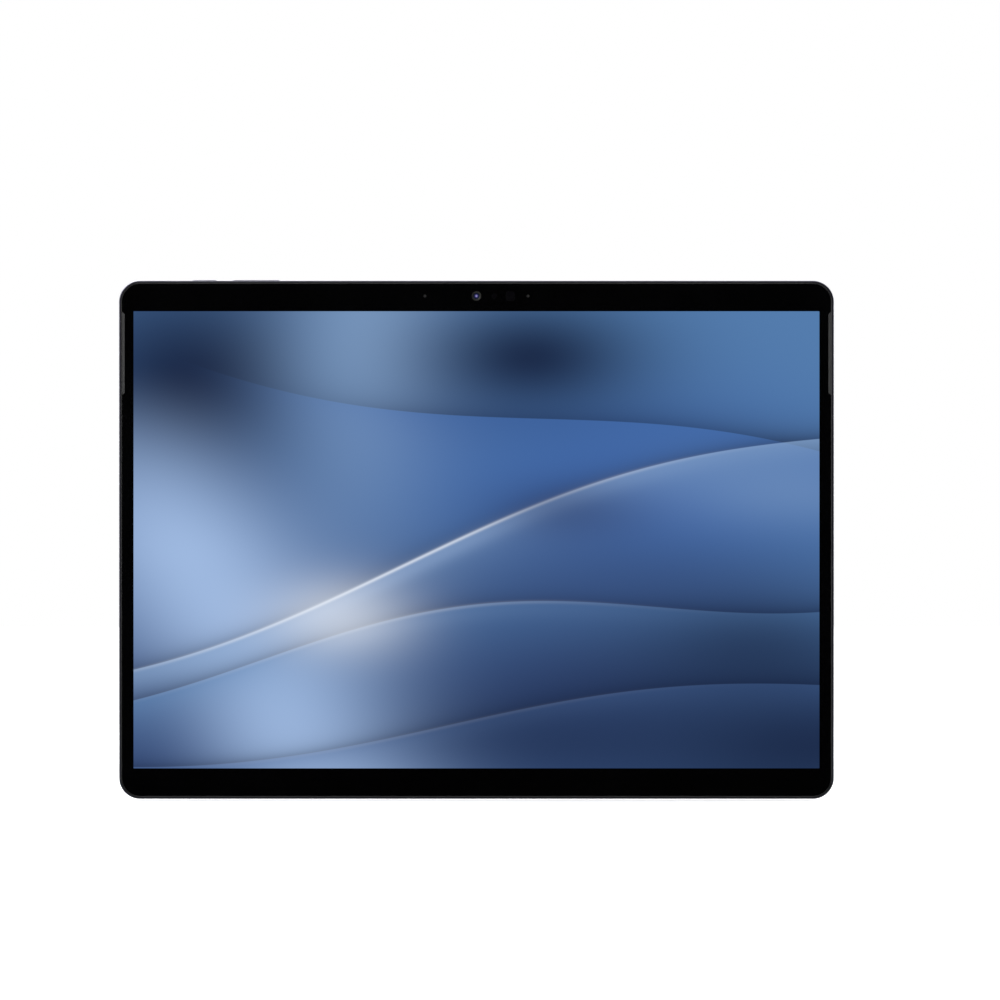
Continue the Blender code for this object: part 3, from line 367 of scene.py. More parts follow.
def anodised(name, tint, rough):
    """Bead-blasted, anodised aluminium: a fine even grain with the faintest cloud in its colour."""
    material, shader, place = shader_of(name)
    grain = noise(place, 5200.0, 3.0, 0.6)
    cloud = noise(place, 14.0, 3.0, 0.55)
    shade = cloud * 0.10 + grain * 0.10 + 0.90
    deep = tuple(channel * 0.90 for channel in tint)
    light = tuple(channel * 1.06 for channel in tint)
    feed(shader, Base_Color=shade.smooth(0.92, 1.08).mix(deep, light), Metallic=1.0,
         Roughness=grain * 0.10 + (rough - 0.05), Normal=bumped(grain, 0.004 * MM, 0.5))
    return material


LAVENDER = (0.267, 0.263, 0.331)
blasted = anodised("anodised_housing", LAVENDER, 0.40)

camera_low, camera_high, camera_middle = spot("rear_camera_ring")
power_low, power_high, _ = spot("power_button")
rocker_low, rocker_high, _ = spot("volume_rocker")
port_low, port_high, port_middle = spot("port_shell")
frame_low, frame_high, _ = spot("glass_frame")
KEY_FLANGE = 1.0 * MM
RING_OUTER = 7.35 * MM
ROUND_STEPS = 128


def stadium(low, high, axis, gap=0.0, steps=14):
    """A pill shape, grown by a gap across its run along an axis."""
    grow = Vector([0.0 if number == axis else gap for number in range(3)])
    size = Vector(high) - Vector(low) + 2 * grow
    across = min(size[number] for number in range(3) if number != axis)
    return slab(Vector(low) - grow, Vector(high) + grow, across / 2 * FULL_ROUND, axis, steps)


def disc(x, z, radius, front, back, steps=64):
    """A plain round slug along Y."""
    bm = bmesh.new()
    turn = Matrix.Translation((x, (front + back) / 2, z)) @ Matrix.Rotation(math.pi / 2, 4, "X")
    bmesh.ops.create_cone(bm, cap_ends=True, segments=steps, radius1=radius, radius2=radius,
                          depth=back - front, matrix=turn)
    return bm


def key_slot(low, high):
    """The slot that a key passes through: its flange's length less the flange, through the top wall."""
    top = housing_high.z
    low = Vector((low.x + KEY_FLANGE, low.y, top - 2 * SIDE_WALL))
    high = Vector((high.x - KEY_FLANGE, high.y, top + SIDE_WALL))
    return stadium(low, high, 2, KEY_GAP)


bm = slab(housing_low, housing_high, CORNER, steps=CORNER_STEPS)
rounded(bm, edges_at(bm, 1, housing_high.y), BACK_ROUND, BACK_STEPS)
rounded(bm, edges_at(bm, 1, housing_low.y), RIM_CHAMFER, RIM_STEPS)
ledge_depth = frame_high.y + KEY_GAP - housing_low.y
bay_depth = housing_high.y - BAY_FLOOR - housing_low.y - ledge_depth
seat = sink(bm, face_at(bm, 1, housing_low.y), RIM - RIM_CHAMFER, (0, ledge_depth, 0))
sink(bm, seat, SIDE_WALL - RIM, (0, bay_depth, 0))
port_mouth = stadium((port_low.x - SIDE_WALL, port_low.y, port_low.z),
                     (port_high.x, port_high.y, port_high.z), 0, KEY_GAP)
camera_mouth = disc(camera_middle.x, camera_middle.z, RING_OUTER + KEY_GAP,
                    housing_high.y - 2 * BAY_FLOOR, housing_high.y + BAY_FLOOR, ROUND_STEPS)
speaker_room = []
for side in ("left", "right"):
    low, high, _ = spot(f"speaker_module_{side}")
    speaker_room.append(slab(low - Vector((KEY_GAP,) * 3), high + Vector((KEY_GAP, -KEY_GAP, KEY_GAP))))
bm = pierced(bm, [key_slot(power_low, power_high), key_slot(rocker_low, rocker_high), port_mouth,
                  camera_mouth, *speaker_room])
piece(bm, "housing_shell", blasted, ["rear_housing"])


# ---------------------------------------------------------------------------------------------------
# Port mark. A small pill drawn in outline, with a bar in it, engraved into the anodised back beside
# the charging port and darkened by the laser.
# ---------------------------------------------------------------------------------------------------
MARK_LENGTH, MARK_WIDTH, MARK_LINE = 4.4 * MM, 1.7 * MM, 0.22 * MM
MARK_FROM_SIDE = 4.4 * MM
MARK_SKIN = 0.015 * MM

material, shader, place = shader_of("laser_grey")
scorch = noise(place, 3000.0, 3.0)
feed(shader, Base_Color=scorch.smooth(0.3, 0.7).mix((0.050, 0.049, 0.060), (0.085, 0.083, 0.100)),
     Metallic=0.4, Roughness=scorch * 0.2 + 0.5)
laser_grey = material


def mark_pill(length, width, over):
    """A pill lying in the back face, standing a skin's thickness over it."""
    x = housing_low.x + MARK_FROM_SIDE
    back = housing_high.y
    return stadium((x - width / 2, back - 4 * MARK_SKIN - over, port_middle.z - length / 2),
                   (x + width / 2, back + MARK_SKIN + over, port_middle.z + length / 2), 1)


inner_length, inner_width = MARK_LENGTH - 2 * MARK_LINE, MARK_WIDTH - 2 * MARK_LINE
outline = pierced(mark_pill(MARK_LENGTH, MARK_WIDTH, 0.0), [mark_pill(inner_length, inner_width, MARK_SKIN)])
piece(outline, "port_mark_outline", laser_grey)
bar = mark_pill(inner_length - 4 * MARK_LINE, MARK_WIDTH / 5, 0.0)
piece(bar, "port_mark_bar", laser_grey)


# ---------------------------------------------------------------------------------------------------
# Rear camera surround. A polished chrome ring pressed into the back, a glossy black cone inside it
# and a turned satin ring with one fine groove. Each is bonded from inside the housing.
# ---------------------------------------------------------------------------------------------------
RING_INNER = 6.35 * MM
LIP_THICKNESS = 0.5 * MM
CONE_INNER, CONE_DROP, CONE_FOOT = 5.2 * MM, 0.5 * MM, 4.78 * MM
TRIM_OUTER, TRIM_INNER = 4.70 * MM, 3.10 * MM
GROOVE, GROOVE_WIDTH, GROOVE_DEPTH = 3.74 * MM, 0.22 * MM, 0.16 * MM
FINE_ARRIS, TRIM_ARRIS, RING_ROUND = 0.05 * MM, 0.02 * MM, 0.2 * MM


def turned(corners, centre, steps=ROUND_STEPS):
    """A profile of radius and depth pairs spun round a centre line along Y. It closes on itself unless
    it starts and ends on the centre line."""
    bm = bmesh.new()
    verts = [bm.verts.new((centre.x + radius, depth, centre.z)) for radius, depth in corners]
    pairs = list(zip(verts, verts[1:]))
    if corners[0][0] > 0:
        pairs.append((verts[-1], verts[0]))
    edges = [bm.edges.new(pair) for pair in pairs]
    bmesh.ops.spin(bm, geom=verts + edges, cent=(centre.x, 0, centre.z), axis=(0, 1, 0),
                   angle=2 * math.pi, steps=steps, use_merge=True)
    return bm


def eased(bm, size, steps=2):
    """Take the sharp arrises off a shape."""
    bmesh.ops.remove_doubles(bm, verts=bm.verts, dist=SAME_POINT)
    bmesh.ops.recalc_face_normals(bm, faces=bm.faces)
    sharp = [edge for edge in bm.edges if edge.is_manifold and edge.calc_face_angle() > SMOOTH_ANGLE]
    rounded(bm, sharp, size, steps)
    return bm


def from_centre(place, centre):
    """How far each point of a shader's place is from a centre line along Y, in millimetres."""
    x, _, z = axes(place)
    run, rise = (x - centre.x) / MM, (z - centre.z) / MM
    return (run * run + rise * rise) ** 0.5


crown, lip_front = camera_high.y, camera_low.y
lip_radius = (camera_high.x - camera_low.x) / 2
trim_top = spot("rear_camera_trim")[1].y

material, shader, place = shader_of("polished_chrome")
haze = noise(place, 1500.0, 3.0)
feed(shader, Base_Color=haze.smooth(0.2, 0.8).mix((0.80, 0.80, 0.82), (0.88, 0.88, 0.90)), Metallic=1.0,
     Roughness=haze * 0.06 + 0.08)
polished_chrome = material
ring = [(RING_INNER, lip_front), (lip_radius, lip_front), (lip_radius, lip_front + LIP_THICKNESS),
        (RING_OUTER, lip_front + LIP_THICKNESS), (RING_OUTER, crown), (RING_INNER, crown)]
bm = eased(turned(ring, camera_middle), RING_ROUND, RIM_STEPS)
piece(bm, "camera_ring", polished_chrome, ["rear_camera_ring"])

material, shader, place = shader_of("black_cone_gloss")
ripple = noise(place, 700.0, 2.0)
feed(shader, Base_Color=ripple.smooth(0.2, 0.8).mix((0.0020, 0.0021, 0.0040), (0.0045, 0.0050, 0.0105)),
     Roughness=ripple * 0.05 + 0.06, Specular_IOR_Level=0.10, Coat_Weight=0.25, Coat_Roughness=0.03)
black_cone_gloss = material
cone_outer = RING_INNER - KEY_GAP
cone_top = crown - 3 * KEY_GAP
foot_top = cone_top - 2 * CONE_DROP - KEY_GAP
cone = [(CONE_FOOT, lip_front), (cone_outer, lip_front), (cone_outer, cone_top),
        (CONE_INNER, cone_top - CONE_DROP), (CONE_INNER, foot_top), (CONE_FOOT, foot_top)]
bm = eased(turned(cone, camera_middle), FINE_ARRIS)
piece(bm, "camera_cone", black_cone_gloss, ["rear_camera_bezel"])

material, shader, place = shader_of("turned_satin")
lathe = (from_centre(place, camera_middle) * 60.0).maths("SINE")
drag = noise(place, 2200.0, 2.0)
feed(shader, Base_Color=drag.smooth(0.2, 0.8).mix((0.90, 0.90, 0.91), (0.97, 0.97, 0.98)), Metallic=1.0,
     Roughness=drag * 0.10 + 0.27, Normal=bumped(lathe, 0.006 * MM, 0.35))
turned_satin = material
trim_foot = lip_front + LIP_THICKNESS
trim = [(TRIM_INNER, trim_foot), (TRIM_OUTER, trim_foot), (TRIM_OUTER, trim_top),
        (GROOVE + GROOVE_WIDTH, trim_top), (GROOVE + GROOVE_WIDTH, trim_top - GROOVE_DEPTH),
        (GROOVE, trim_top - GROOVE_DEPTH), (GROOVE, trim_top), (TRIM_INNER, trim_top)]
bm = eased(turned(trim, camera_middle), TRIM_ARRIS)
piece(bm, "camera_trim", turned_satin, ["rear_camera_trim"])


# ---------------------------------------------------------------------------------------------------
# Rear camera. A moulded module with its barrel in the ring, a ribbed black funnel round a coated lens
# in a grey ring, and a clear window bonded over it.
# ---------------------------------------------------------------------------------------------------
WINDOW_RADIUS, BARREL_RADIUS = 3.05 * MM, 2.8 * MM
FUNNEL_TOP, FUNNEL_FOOT, FUNNEL_DROP = 2.60 * MM, 1.80 * MM, 0.55 * MM
LENS_RING_INNER, LENS_RADIUS, LENS_RISE = 1.22 * MM, 1.20 * MM, 0.35 * MM
BARREL_NECK, MODULE_ROUND = 1.0 * MM, 0.6 * MM

module_low, module_high, _ = spot("rear_camera_module")
window_low, window_high, _ = spot("rear_camera_window")


def moulded(name, dark, light, rough=0.55, scale=2400.0):
    """Fine spark-eroded texture on a moulded part."""
    material, shader, place = shader_of(name)
    grain = noise(place, scale, 3.0)
    feed(shader, Base_Color=grain.smooth(0.3, 0.7).mix(dark, light), Roughness=grain * 0.2 + (rough - 0.1),
         Normal=bumped(grain, 0.01 * MM, 0.5))
    return material


def dome(centre, radius, base, rise):
    """A lens: a ball flattened along Y, with its poles on its centre line."""
    bm = bmesh.new()
    turn = Matrix.Diagonal((radius, rise, radius, 1.0)) @ Matrix.Rotation(math.pi / 2, 4, "X")
    bmesh.ops.create_uvsphere(bm, u_segments=64, v_segments=32, radius=1.0,
                              matrix=Matrix.Translation((centre.x, base, centre.z)) @ turn)
    return bm


def lens_coating_and_painted_glint(name, centre, radius):
    """Dark glass with the violet and blue of its coatings in rings round its middle, and a bright violet
    glint painted in its very middle.
    """
    material, shader, place = shader_of(name)
    share = from_centre(place, centre) / (radius / MM)
    # the first two stops are a painted glint, a bright violet disc in the lens's middle; the later stops are
    # the coatings' dark violet and blue and the dark rim
    stops = ((0.0, (0.42, 0.36, 0.74)), (0.26, (0.22, 0.19, 0.46)), (0.42, (0.012, 0.012, 0.060)),
             (0.62, (0.030, 0.040, 0.120)), (0.80, (0.006, 0.006, 0.020)), (1.0, (0.020, 0.020, 0.024)))
    stain = noise(place, 900.0, 2.0) * 0.10 - 0.05
    colour = share.node("ShaderNodeValToRGB", {"stops": stops}, {0: share + stain})
    feed(shader, Base_Color=colour, Roughness=0.04, Coat_Weight=1.0, Coat_Roughness=0.02)
    return material


black_moulding = moulded("black_moulding", (0.0030, 0.0030, 0.0033), (0.0070, 0.0070, 0.0075))
barrel_top = module_high.y
funnel_foot = barrel_top - FUNNEL_DROP
box_top = lip_front - KEY_GAP
bm = eased(slab(module_low, (module_high.x, box_top, module_high.z), MODULE_ROUND), FINE_ARRIS)
piece(bm, "camera_module_box", black_moulding, ["rear_camera_module"])

material, shader, place = shader_of("ribbed_black")
ribs = (from_centre(place, camera_middle) * 42.0).maths("SINE")
feed(shader, Base_Color=ribs.smooth(-1.0, 1.0).mix((0.0010, 0.0010, 0.0011), (0.0028, 0.0028, 0.0030)),
     Roughness=0.65, Specular_IOR_Level=0.2, Normal=bumped(ribs, 0.02 * MM, 0.7))
ribbed_black = material
barrel = [(0.0, box_top - BARREL_NECK), (BARREL_RADIUS, box_top - BARREL_NECK), (BARREL_RADIUS, barrel_top),
          (FUNNEL_TOP, barrel_top), (FUNNEL_FOOT, funnel_foot), (0.0, funnel_foot)]
piece(turned(barrel, camera_middle), "camera_barrel", ribbed_black)

lens_ring_grey = moulded("lens_ring_grey", (0.17, 0.17, 0.18), (0.22, 0.22, 0.23), 0.40)
lens_ring = [(LENS_RING_INNER, funnel_foot), (FUNNEL_FOOT - FINE_ARRIS, funnel_foot),
             (FUNNEL_FOOT - 2 * FINE_ARRIS, funnel_foot + LENS_RISE / 2),
             (LENS_RING_INNER, funnel_foot + LENS_RISE / 2)]
bm = eased(turned(lens_ring, camera_middle), FINE_ARRIS)
piece(bm, "camera_lens_ring", lens_ring_grey)
bm = dome(camera_middle, LENS_RADIUS, funnel_foot, LENS_RISE)
piece(bm, "camera_lens", lens_coating_and_painted_glint("rear_lens_coating_painted_glint", camera_middle, LENS_RADIUS))

material, shader, place = shader_of("clear_window")
dust = noise(place, 600.0, 3.0)
feed(shader, Base_Color=dust.smooth(0.2, 0.8).mix((0.010, 0.010, 0.012), (0.020, 0.020, 0.024)),
     Roughness=dust * 0.02 + 0.01, Alpha=0.10, Specular_IOR_Level=0.5)
clear_window = material
window = [(0.0, window_low.y), (WINDOW_RADIUS, window_low.y), (WINDOW_RADIUS, window_high.y),
          (0.0, window_high.y)]
bm = eased(turned(window, camera_middle), FINE_ARRIS)
piece(bm, "camera_window", clear_window, ["rear_camera_window"])


# ---------------------------------------------------------------------------------------------------
# Keys. The power button and the volume rocker are pills of the same anodised aluminium, a touch
# glossier than the housing. Each stands proud of the top edge, and a flange under the wall holds it.
# ---------------------------------------------------------------------------------------------------
KEY_ROUND = 0.16 * MM
FLANGE_THICKNESS = 0.6 * MM
KEY_LIFT = {"power": 0.1 * MM, "volume": 0.35 * MM}
satin_key = anodised("anodised_key", (0.285, 0.281, 0.350), 0.30)


def key(name, low, high, body, node):
    flange_top = housing_high.z - SIDE_WALL - KEY_LIFT[name]
    flange = slab((low.x, low.y, flange_top - FLANGE_THICKNESS), (high.x, high.y, flange_top))
    cap_low = Vector((low.x + KEY_FLANGE, low.y, flange_top - FLANGE_THICKNESS / 2))
    cap = stadium(cap_low, (high.x - KEY_FLANGE, high.y, high.z), 2)
    rounded(cap, edges_at(cap, 2, high.z), KEY_ROUND, RIM_STEPS)
    piece(pierced(cap, [flange], "UNION"), f"{name}_key_cap", satin_key, [node], body)


key("power", power_low, power_high, "power_key", "power_button")
key("volume", rocker_low, rocker_high, "volume_key", "volume_rocker")


# ---------------------------------------------------------------------------------------------------
# Charging port. A drawn steel shell in the side wall, with a black tongue on its base and two rows of
# gold contacts on the tongue. It is soldered to its own small board.
# ---------------------------------------------------------------------------------------------------
SHELL_WALL = 0.3 * MM
TONGUE_BASE = 1.2 * MM
TONGUE_LENGTH, TONGUE_THICKNESS = 6.7 * MM, 0.7 * MM
SHELL_ROUND, BLADE_ROUND, BLADE_STEPS = 0.06 * MM, 0.15 * MM, 3
CONTACTS, CONTACT_PITCH, CONTACT_SETBACK = 12, 0.5 * MM, 0.4 * MM
CONTACT_SIZE = Vector((3.0, 0.03, 0.26)) * MM

material, shader, place = shader_of("drawn_steel")
drawn = noise(place.node("ShaderNodeMapping", (), {0: place, 3: (200.0, 4000.0, 4000.0)}), 1.0, 2.0)
feed(shader, Base_Color=drawn.smooth(0.2, 0.8).mix((0.42, 0.42, 0.43), (0.52, 0.52, 0.53)), Metallic=1.0,
     Roughness=drawn * 0.12 + 0.22, Normal=bumped(drawn, 0.003 * MM, 0.5))
drawn_steel = material
room = Vector((MM, -SHELL_WALL, -SHELL_WALL))
bm = pierced(stadium(port_low, port_high, 0), [stadium(port_low - room, port_high + room, 0)])
piece(eased(bm, SHELL_ROUND), "port_socket", drawn_steel, ["port_shell"])

tongue_low, tongue_high, tongue_middle = spot("port_tongue")
half = Vector((0, TONGUE_THICKNESS, TONGUE_LENGTH)) / 2
base = stadium((tongue_high.x - TONGUE_BASE, tongue_low.y, tongue_low.z), tongue_high, 0)
blade = slab(Vector((tongue_low.x, tongue_middle.y, tongue_middle.z)) - half,
             Vector((tongue_high.x - TONGUE_BASE / 2, tongue_middle.y, tongue_middle.z)) + half)
rounded(blade, edges_at(blade, 0, tongue_low.x), BLADE_ROUND, BLADE_STEPS)
bm = pierced(base, [blade], "UNION")
piece(bm, "port_blade", black_moulding, ["port_tongue"])

material, shader, place = shader_of("gold_plate")
plate = noise(place, 5000.0, 2.0)
feed(shader, Base_Color=plate.smooth(0.2, 0.8).mix((0.62, 0.40, 0.13), (0.78, 0.54, 0.20)), Metallic=1.0,
     Roughness=plate * 0.15 + 0.18)
gold_plate = material
bm = bmesh.new()
for row in range(2 * CONTACTS):
    face_side = 1 if row < CONTACTS else -1
    along_z = (row % CONTACTS - (CONTACTS - 1) / 2) * CONTACT_PITCH
    spot_x = tongue_low.x + CONTACT_SIZE.x / 2 + CONTACT_SETBACK
    centre = (spot_x, tongue_middle.y + face_side * TONGUE_THICKNESS / 2, tongue_middle.z + along_z)
    shape = Matrix.Translation(centre) @ Matrix.Diagonal((*CONTACT_SIZE, 1.0))
    bmesh.ops.create_cube(bm, size=1.0, matrix=shape)
piece(bm, "port_contacts", gold_plate)


# ---------------------------------------------------------------------------------------------------
# Boards. Dark green laminate, printed with fine copper tracks under the mask and dotted with plated
# holes: the main board on its four screws, and the port, battery and front sensor boards.
# ---------------------------------------------------------------------------------------------------
def on_nodes(material, *names):
    """Give CAD nodes a finish in place of their plain one."""
    for name in names:
        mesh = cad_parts[name].data
        mesh.materials.clear()
        mesh.materials.append(material)


material, shader, place = shader_of("board_laminate")
x, _, z = axes(place)
bend = noise(place, 90.0, 1.0) * 0.004
tracks = ((x + bend) * 7000.0).maths("SINE")
blocks = noise(place, 160.0, 0.0).smooth(0.48, 0.52)
track = tracks.smooth(0.3, 0.5) * blocks
holes = place.node("ShaderNodeTexVoronoi", {"feature": "F1"}, {"Vector": place, "Scale": 520.0})
plated = holes.smooth(0.20, 0.16)
laminate = track.mix((0.006, 0.030, 0.018), (0.016, 0.075, 0.040))
feed(shader, Base_Color=plated.mix(laminate, (0.55, 0.38, 0.14)), Metallic=plated,
     Roughness=plated * -0.1 + 0.38, Normal=bumped(track, 0.02 * MM, 0.6))
on_nodes(material, "main_board", "port_board", "battery_board", "front_sensor_board")


# ---------------------------------------------------------------------------------------------------
# Shield cans and heat spreader. Tinned steel lids, pressed and soldered over the chips, and a sheet of
# rolled copper laid over the processor's lid.
# ---------------------------------------------------------------------------------------------------
def rolled(name, dark, light, rough, stretch=(60.0, 60.0, 3600.0)):
    """Sheet metal with the long faint lines of its rolling."""
    material, shader, place = shader_of(name)
    lines = noise(place.node("ShaderNodeMapping", (), {0: place, 3: stretch}), 1.0, 3.0)
    cloud = noise(place, 120.0, 2.0)
    shade = (lines * 0.7 + cloud * 0.3).smooth(0.3, 0.7)
    feed(shader, Base_Color=shade.mix(dark, light), Metallic=1.0, Roughness=lines * 0.15 + (rough - 0.07),
         Normal=bumped(lines, 0.004 * MM, 0.4))
    return material


tinned = rolled("tinned_steel", (0.44, 0.44, 0.43), (0.56, 0.56, 0.55), 0.34)
on_nodes(tinned, "processor_shield", "memory_shield", "radio_shield", "power_shield")
on_nodes(rolled("rolled_copper", (0.62, 0.26, 0.15), (0.80, 0.38, 0.23), 0.32), "heat_spreader")


# ---------------------------------------------------------------------------------------------------
# Screws, switches and bracket. Small stainless parts: pan-head screws, tact switches under the keys,
# and the pressed bracket that carries the switches.
# ---------------------------------------------------------------------------------------------------
stainless = rolled("stainless", (0.46, 0.46, 0.46), (0.58, 0.58, 0.58), 0.30, (900.0, 900.0, 900.0))
screws = [f"{place}_{number}" for place, count in
          (("main_board_screw", 4), ("mid_frame_screw", 4), ("button_bracket_screw", 2))
          for number in range(1, count + 1)]
on_nodes(stainless, "button_bracket", "power_switch", "volume_up_switch", "volume_down_switch", *screws)


# ---------------------------------------------------------------------------------------------------
# Flat cables and antennas. Amber film over copper lines. Each cable is a thin strip between the boards
# it joins, soldered or plugged at its ends, and the antennas are of the same film.
# ---------------------------------------------------------------------------------------------------
material, shader, place = shader_of("amber_film")
x, _, z = axes(place)
lines = ((x + z) * 9000.0).maths("SINE").smooth(-0.2, 0.2)
tone = noise(place, 200.0, 2.0)
film = lines.mix((0.20, 0.075, 0.012), (0.42, 0.19, 0.040))
feed(shader, Base_Color=(tone.smooth(0.3, 0.8) * 0.4).mix(film, (0.12, 0.040, 0.010)),
     Roughness=lines * 0.1 + 0.30, Normal=bumped(lines, 0.01 * MM, 0.5))
on_nodes(material, "battery_cable", "port_cable", "display_cable", "front_sensor_cable", "button_cable",
         "rear_camera_cable", "antenna_left", "antenna_right")


# ---------------------------------------------------------------------------------------------------
# Battery. Two flat cells in soft black laminate, wrinkled a little where it is folded, side by side on
# adhesive under the lower two thirds of the back.
# ---------------------------------------------------------------------------------------------------
material, shader, place = shader_of("cell_laminate")
wrinkle = noise(place, 55.0, 4.0, 0.6)
weave = noise(place, 2600.0, 2.0)
feed(shader, Base_Color=wrinkle.smooth(0.3, 0.8).mix((0.014, 0.014, 0.015), (0.032, 0.032, 0.034)),
     Metallic=0.2, Roughness=weave * 0.1 + 0.38, Normal=bumped(wrinkle, 0.25 * MM, 0.6))
on_nodes(material, "battery_cell_left", "battery_cell_right")


# ---------------------------------------------------------------------------------------------------
# Speaker modules. Sealed boxes moulded in black plastic, one at each upper side. A duct leads up from
# each to the slot in the bezel.
# ---------------------------------------------------------------------------------------------------
on_nodes(black_moulding, "speaker_module_left", "speaker_module_right")


# ---------------------------------------------------------------------------------------------------
# Mid-frame. A thin magnesium casting screwed to the housing, which carries the display and stiffens
# the tablet. It is left as cast, with a fine grey grain.
# ---------------------------------------------------------------------------------------------------
material, shader, place = shader_of("cast_magnesium")
grain = noise(place, 1400.0, 5.0, 0.7)
flow = noise(place, 25.0, 3.0)
cast = (grain * 0.6 + flow * 0.4).smooth(0.3, 0.7)
feed(shader, Base_Color=cast.mix((0.24, 0.24, 0.25), (0.36, 0.36, 0.37)), Metallic=0.9,
     Roughness=grain * 0.2 + 0.42, Normal=bumped(grain, 0.02 * MM, 0.6))
on_nodes(material, "mid_frame")


# ---------------------------------------------------------------------------------------------------
# Speaker grilles. A strip of fine woven steel, dyed dark grey, in each side bezel. It is bonded to
# the glass frame a little below the glass.
# ---------------------------------------------------------------------------------------------------
THREAD = 0.16 * MM
GRILLE_CHAMFER = 0.8 * MM
PAST_SIDE = 1.0 * MM


def grille_shape(side, gap, front, back):
    """A long strip with its two inner corners cut off. Grown by a gap, it also runs out past the side."""
    low, high, _ = spot(f"speaker_grille_{side}")
    sign = -1.0 if side == "left" else 1.0
    outer = sign * (abs(high.x if sign > 0 else low.x) + (PAST_SIDE if gap else 0.0))
    inner = sign * (abs(low.x if sign > 0 else high.x) - gap)
    bm = slab((min(outer, inner), front, low.z - gap), (max(outer, inner), back, high.z + gap))
    cut = [edge for edge in bm.edges if along(edge, 1) and abs(edge.verts[0].co.x - inner) < NEAR]
    rounded(bm, cut, GRILLE_CHAMFER, 1)
    return bm


material, shader, place = shader_of("woven_grille")
x, _, z = axes(place)
turns = 2 * math.pi / THREAD
over = (x * turns).maths("SINE")
under = (z * turns).maths("SINE")
weave = (over * under).smooth(-0.7, 0.7)
feed(shader, Base_Color=weave.mix((0.016, 0.016, 0.016), (0.100, 0.100, 0.100)), Metallic=0.3,
     Roughness=weave * 0.2 + 0.42, Normal=bumped(weave, 0.03 * MM, 0.8))
woven_grille = material
for side in ("left", "right"):
    low, high, _ = spot(f"speaker_grille_{side}")
    bm = grille_shape(side, 0.0, low.y, high.y)
    piece(bm, f"grille_{side}", woven_grille, [f"speaker_grille_{side}"])


# ---------------------------------------------------------------------------------------------------
# Glass frame. A thin moulded ring of dark grey plastic between the metal rim and the glass. It keeps
# the two apart and hides the glue line.
# ---------------------------------------------------------------------------------------------------
FRAME_WALL = 0.40 * MM
FRAME_SLOPE = 0.28 * MM
FRAME_DROP = 0.02 * MM
FRAME_DEPTH = 0.9 * MM
frame_corner = CORNER - (frame_low.x - housing_low.x)
frame_front = Vector((frame_low.x, frame_low.y + FRAME_DROP, frame_low.z))

moulded_frame = moulded("moulded_frame", (0.036, 0.036, 0.037), (0.050, 0.050, 0.051), 0.50)
bm = slab(frame_front, frame_high, frame_corner, steps=CORNER_STEPS)
sink(bm, face_at(bm, 1, frame_front.y), FRAME_WALL, (0, FRAME_DEPTH, 0))
inner = [edge for edge in edges_at(bm, 1, frame_front.y)
         if abs(edge.verts[0].co.x) < frame_high.x - FRAME_WALL / 2
         and FRAME_WALL / 2 < edge.verts[0].co.z - frame_low.z < frame_high.z - frame_low.z - FRAME_WALL / 2]
rounded(bm, inner, FRAME_SLOPE, 1)
piece(bm, "glass_frame_ring", moulded_frame, ["glass_frame"])


# ---------------------------------------------------------------------------------------------------
# Backlight and display tape. A milky light guide with a fine pattern of dots stands behind the panel,
# and a black foam tape seals the glass to its frame.
# ---------------------------------------------------------------------------------------------------
material, shader, place = shader_of("light_guide_dots")
dots = place.node("ShaderNodeTexVoronoi", {"feature": "F1"}, {"Vector": place, "Scale": 900.0})
feed(shader, Base_Color=dots.smooth(0.25, 0.45).mix((0.90, 0.91, 0.92), (0.62, 0.64, 0.66)),
     Roughness=dots * 0.2 + 0.15)
on_nodes(material, "backlight_unit")
material, shader, place = shader_of("foam_tape_cells")
cells = place.node("ShaderNodeTexVoronoi", {"feature": "F1"}, {"Vector": place, "Scale": 3500.0})
feed(shader, Base_Color=cells.smooth(0.1, 0.6).mix((0.004, 0.004, 0.004), (0.016, 0.016, 0.016)),
     Roughness=0.9, Normal=bumped(cells, 0.05 * MM, 0.7))
on_nodes(material, "display_tape")


# ---------------------------------------------------------------------------------------------------
# Display. A bright panel bonded to the glass, seen through its clear window. The picture on it is a
# plain study in blue: soft light and shade, and four long waves.
# ---------------------------------------------------------------------------------------------------
PANEL_SIDE, PANEL_TOP, PANEL_BOTTOM = 1.8 * MM, 3.0 * MM, 5.0 * MM
NAVY = (0.0075, 0.0145, 0.0460)
INK = (0.0280, 0.0520, 0.1500)
SLATE = (0.0540, 0.1150, 0.2790)
ROYAL = (0.0520, 0.1380, 0.4000)
STEEL = (0.0900, 0.2050, 0.4200)
SKY = (0.2200, 0.3500, 0.5700)
PALE = (0.3450, 0.4850, 0.7450)
WHITE = (0.9000, 0.9400, 1.0000)

panel_low, panel_high, _ = spot("lcd_panel")
glass_low, glass_high, _ = spot("cover_glass")
view_low = Vector((panel_low.x + PANEL_SIDE, glass_low.y, panel_low.z + PANEL_BOTTOM))
view_high = Vector((panel_high.x - PANEL_SIDE, glass_high.y, panel_high.z - PANEL_TOP))
view_middle = (view_low + view_high) / 2

material, shader, place = shader_of("lit_display")
x, _, z = axes(place)
u = (x - view_middle.x) / ((view_high.x - view_low.x) / 2)
v = (z - view_middle.z) / ((view_high.z - view_low.z) / 2)


def spread(value, width):
    """A soft bell: 1 where a value is 0, and falling away over a width."""
    share = value / width
    return (share * share * -1.0).maths("EXPONENT")


def wave(rise, slope, swing, pitch, phase):
    """The height of a long wave's crest at each place across."""
    return (u * pitch + phase).maths("SINE") * swing + u * slope + rise


def dabbed(picture, patches):
    """A picture with soft patches of light or dark laid over it."""
    for across, up, wide, tall, colour, strength in patches:
        picture = (spread(u - across, wide) * spread(v - up, tall) * strength).mix(picture, colour)
    return picture


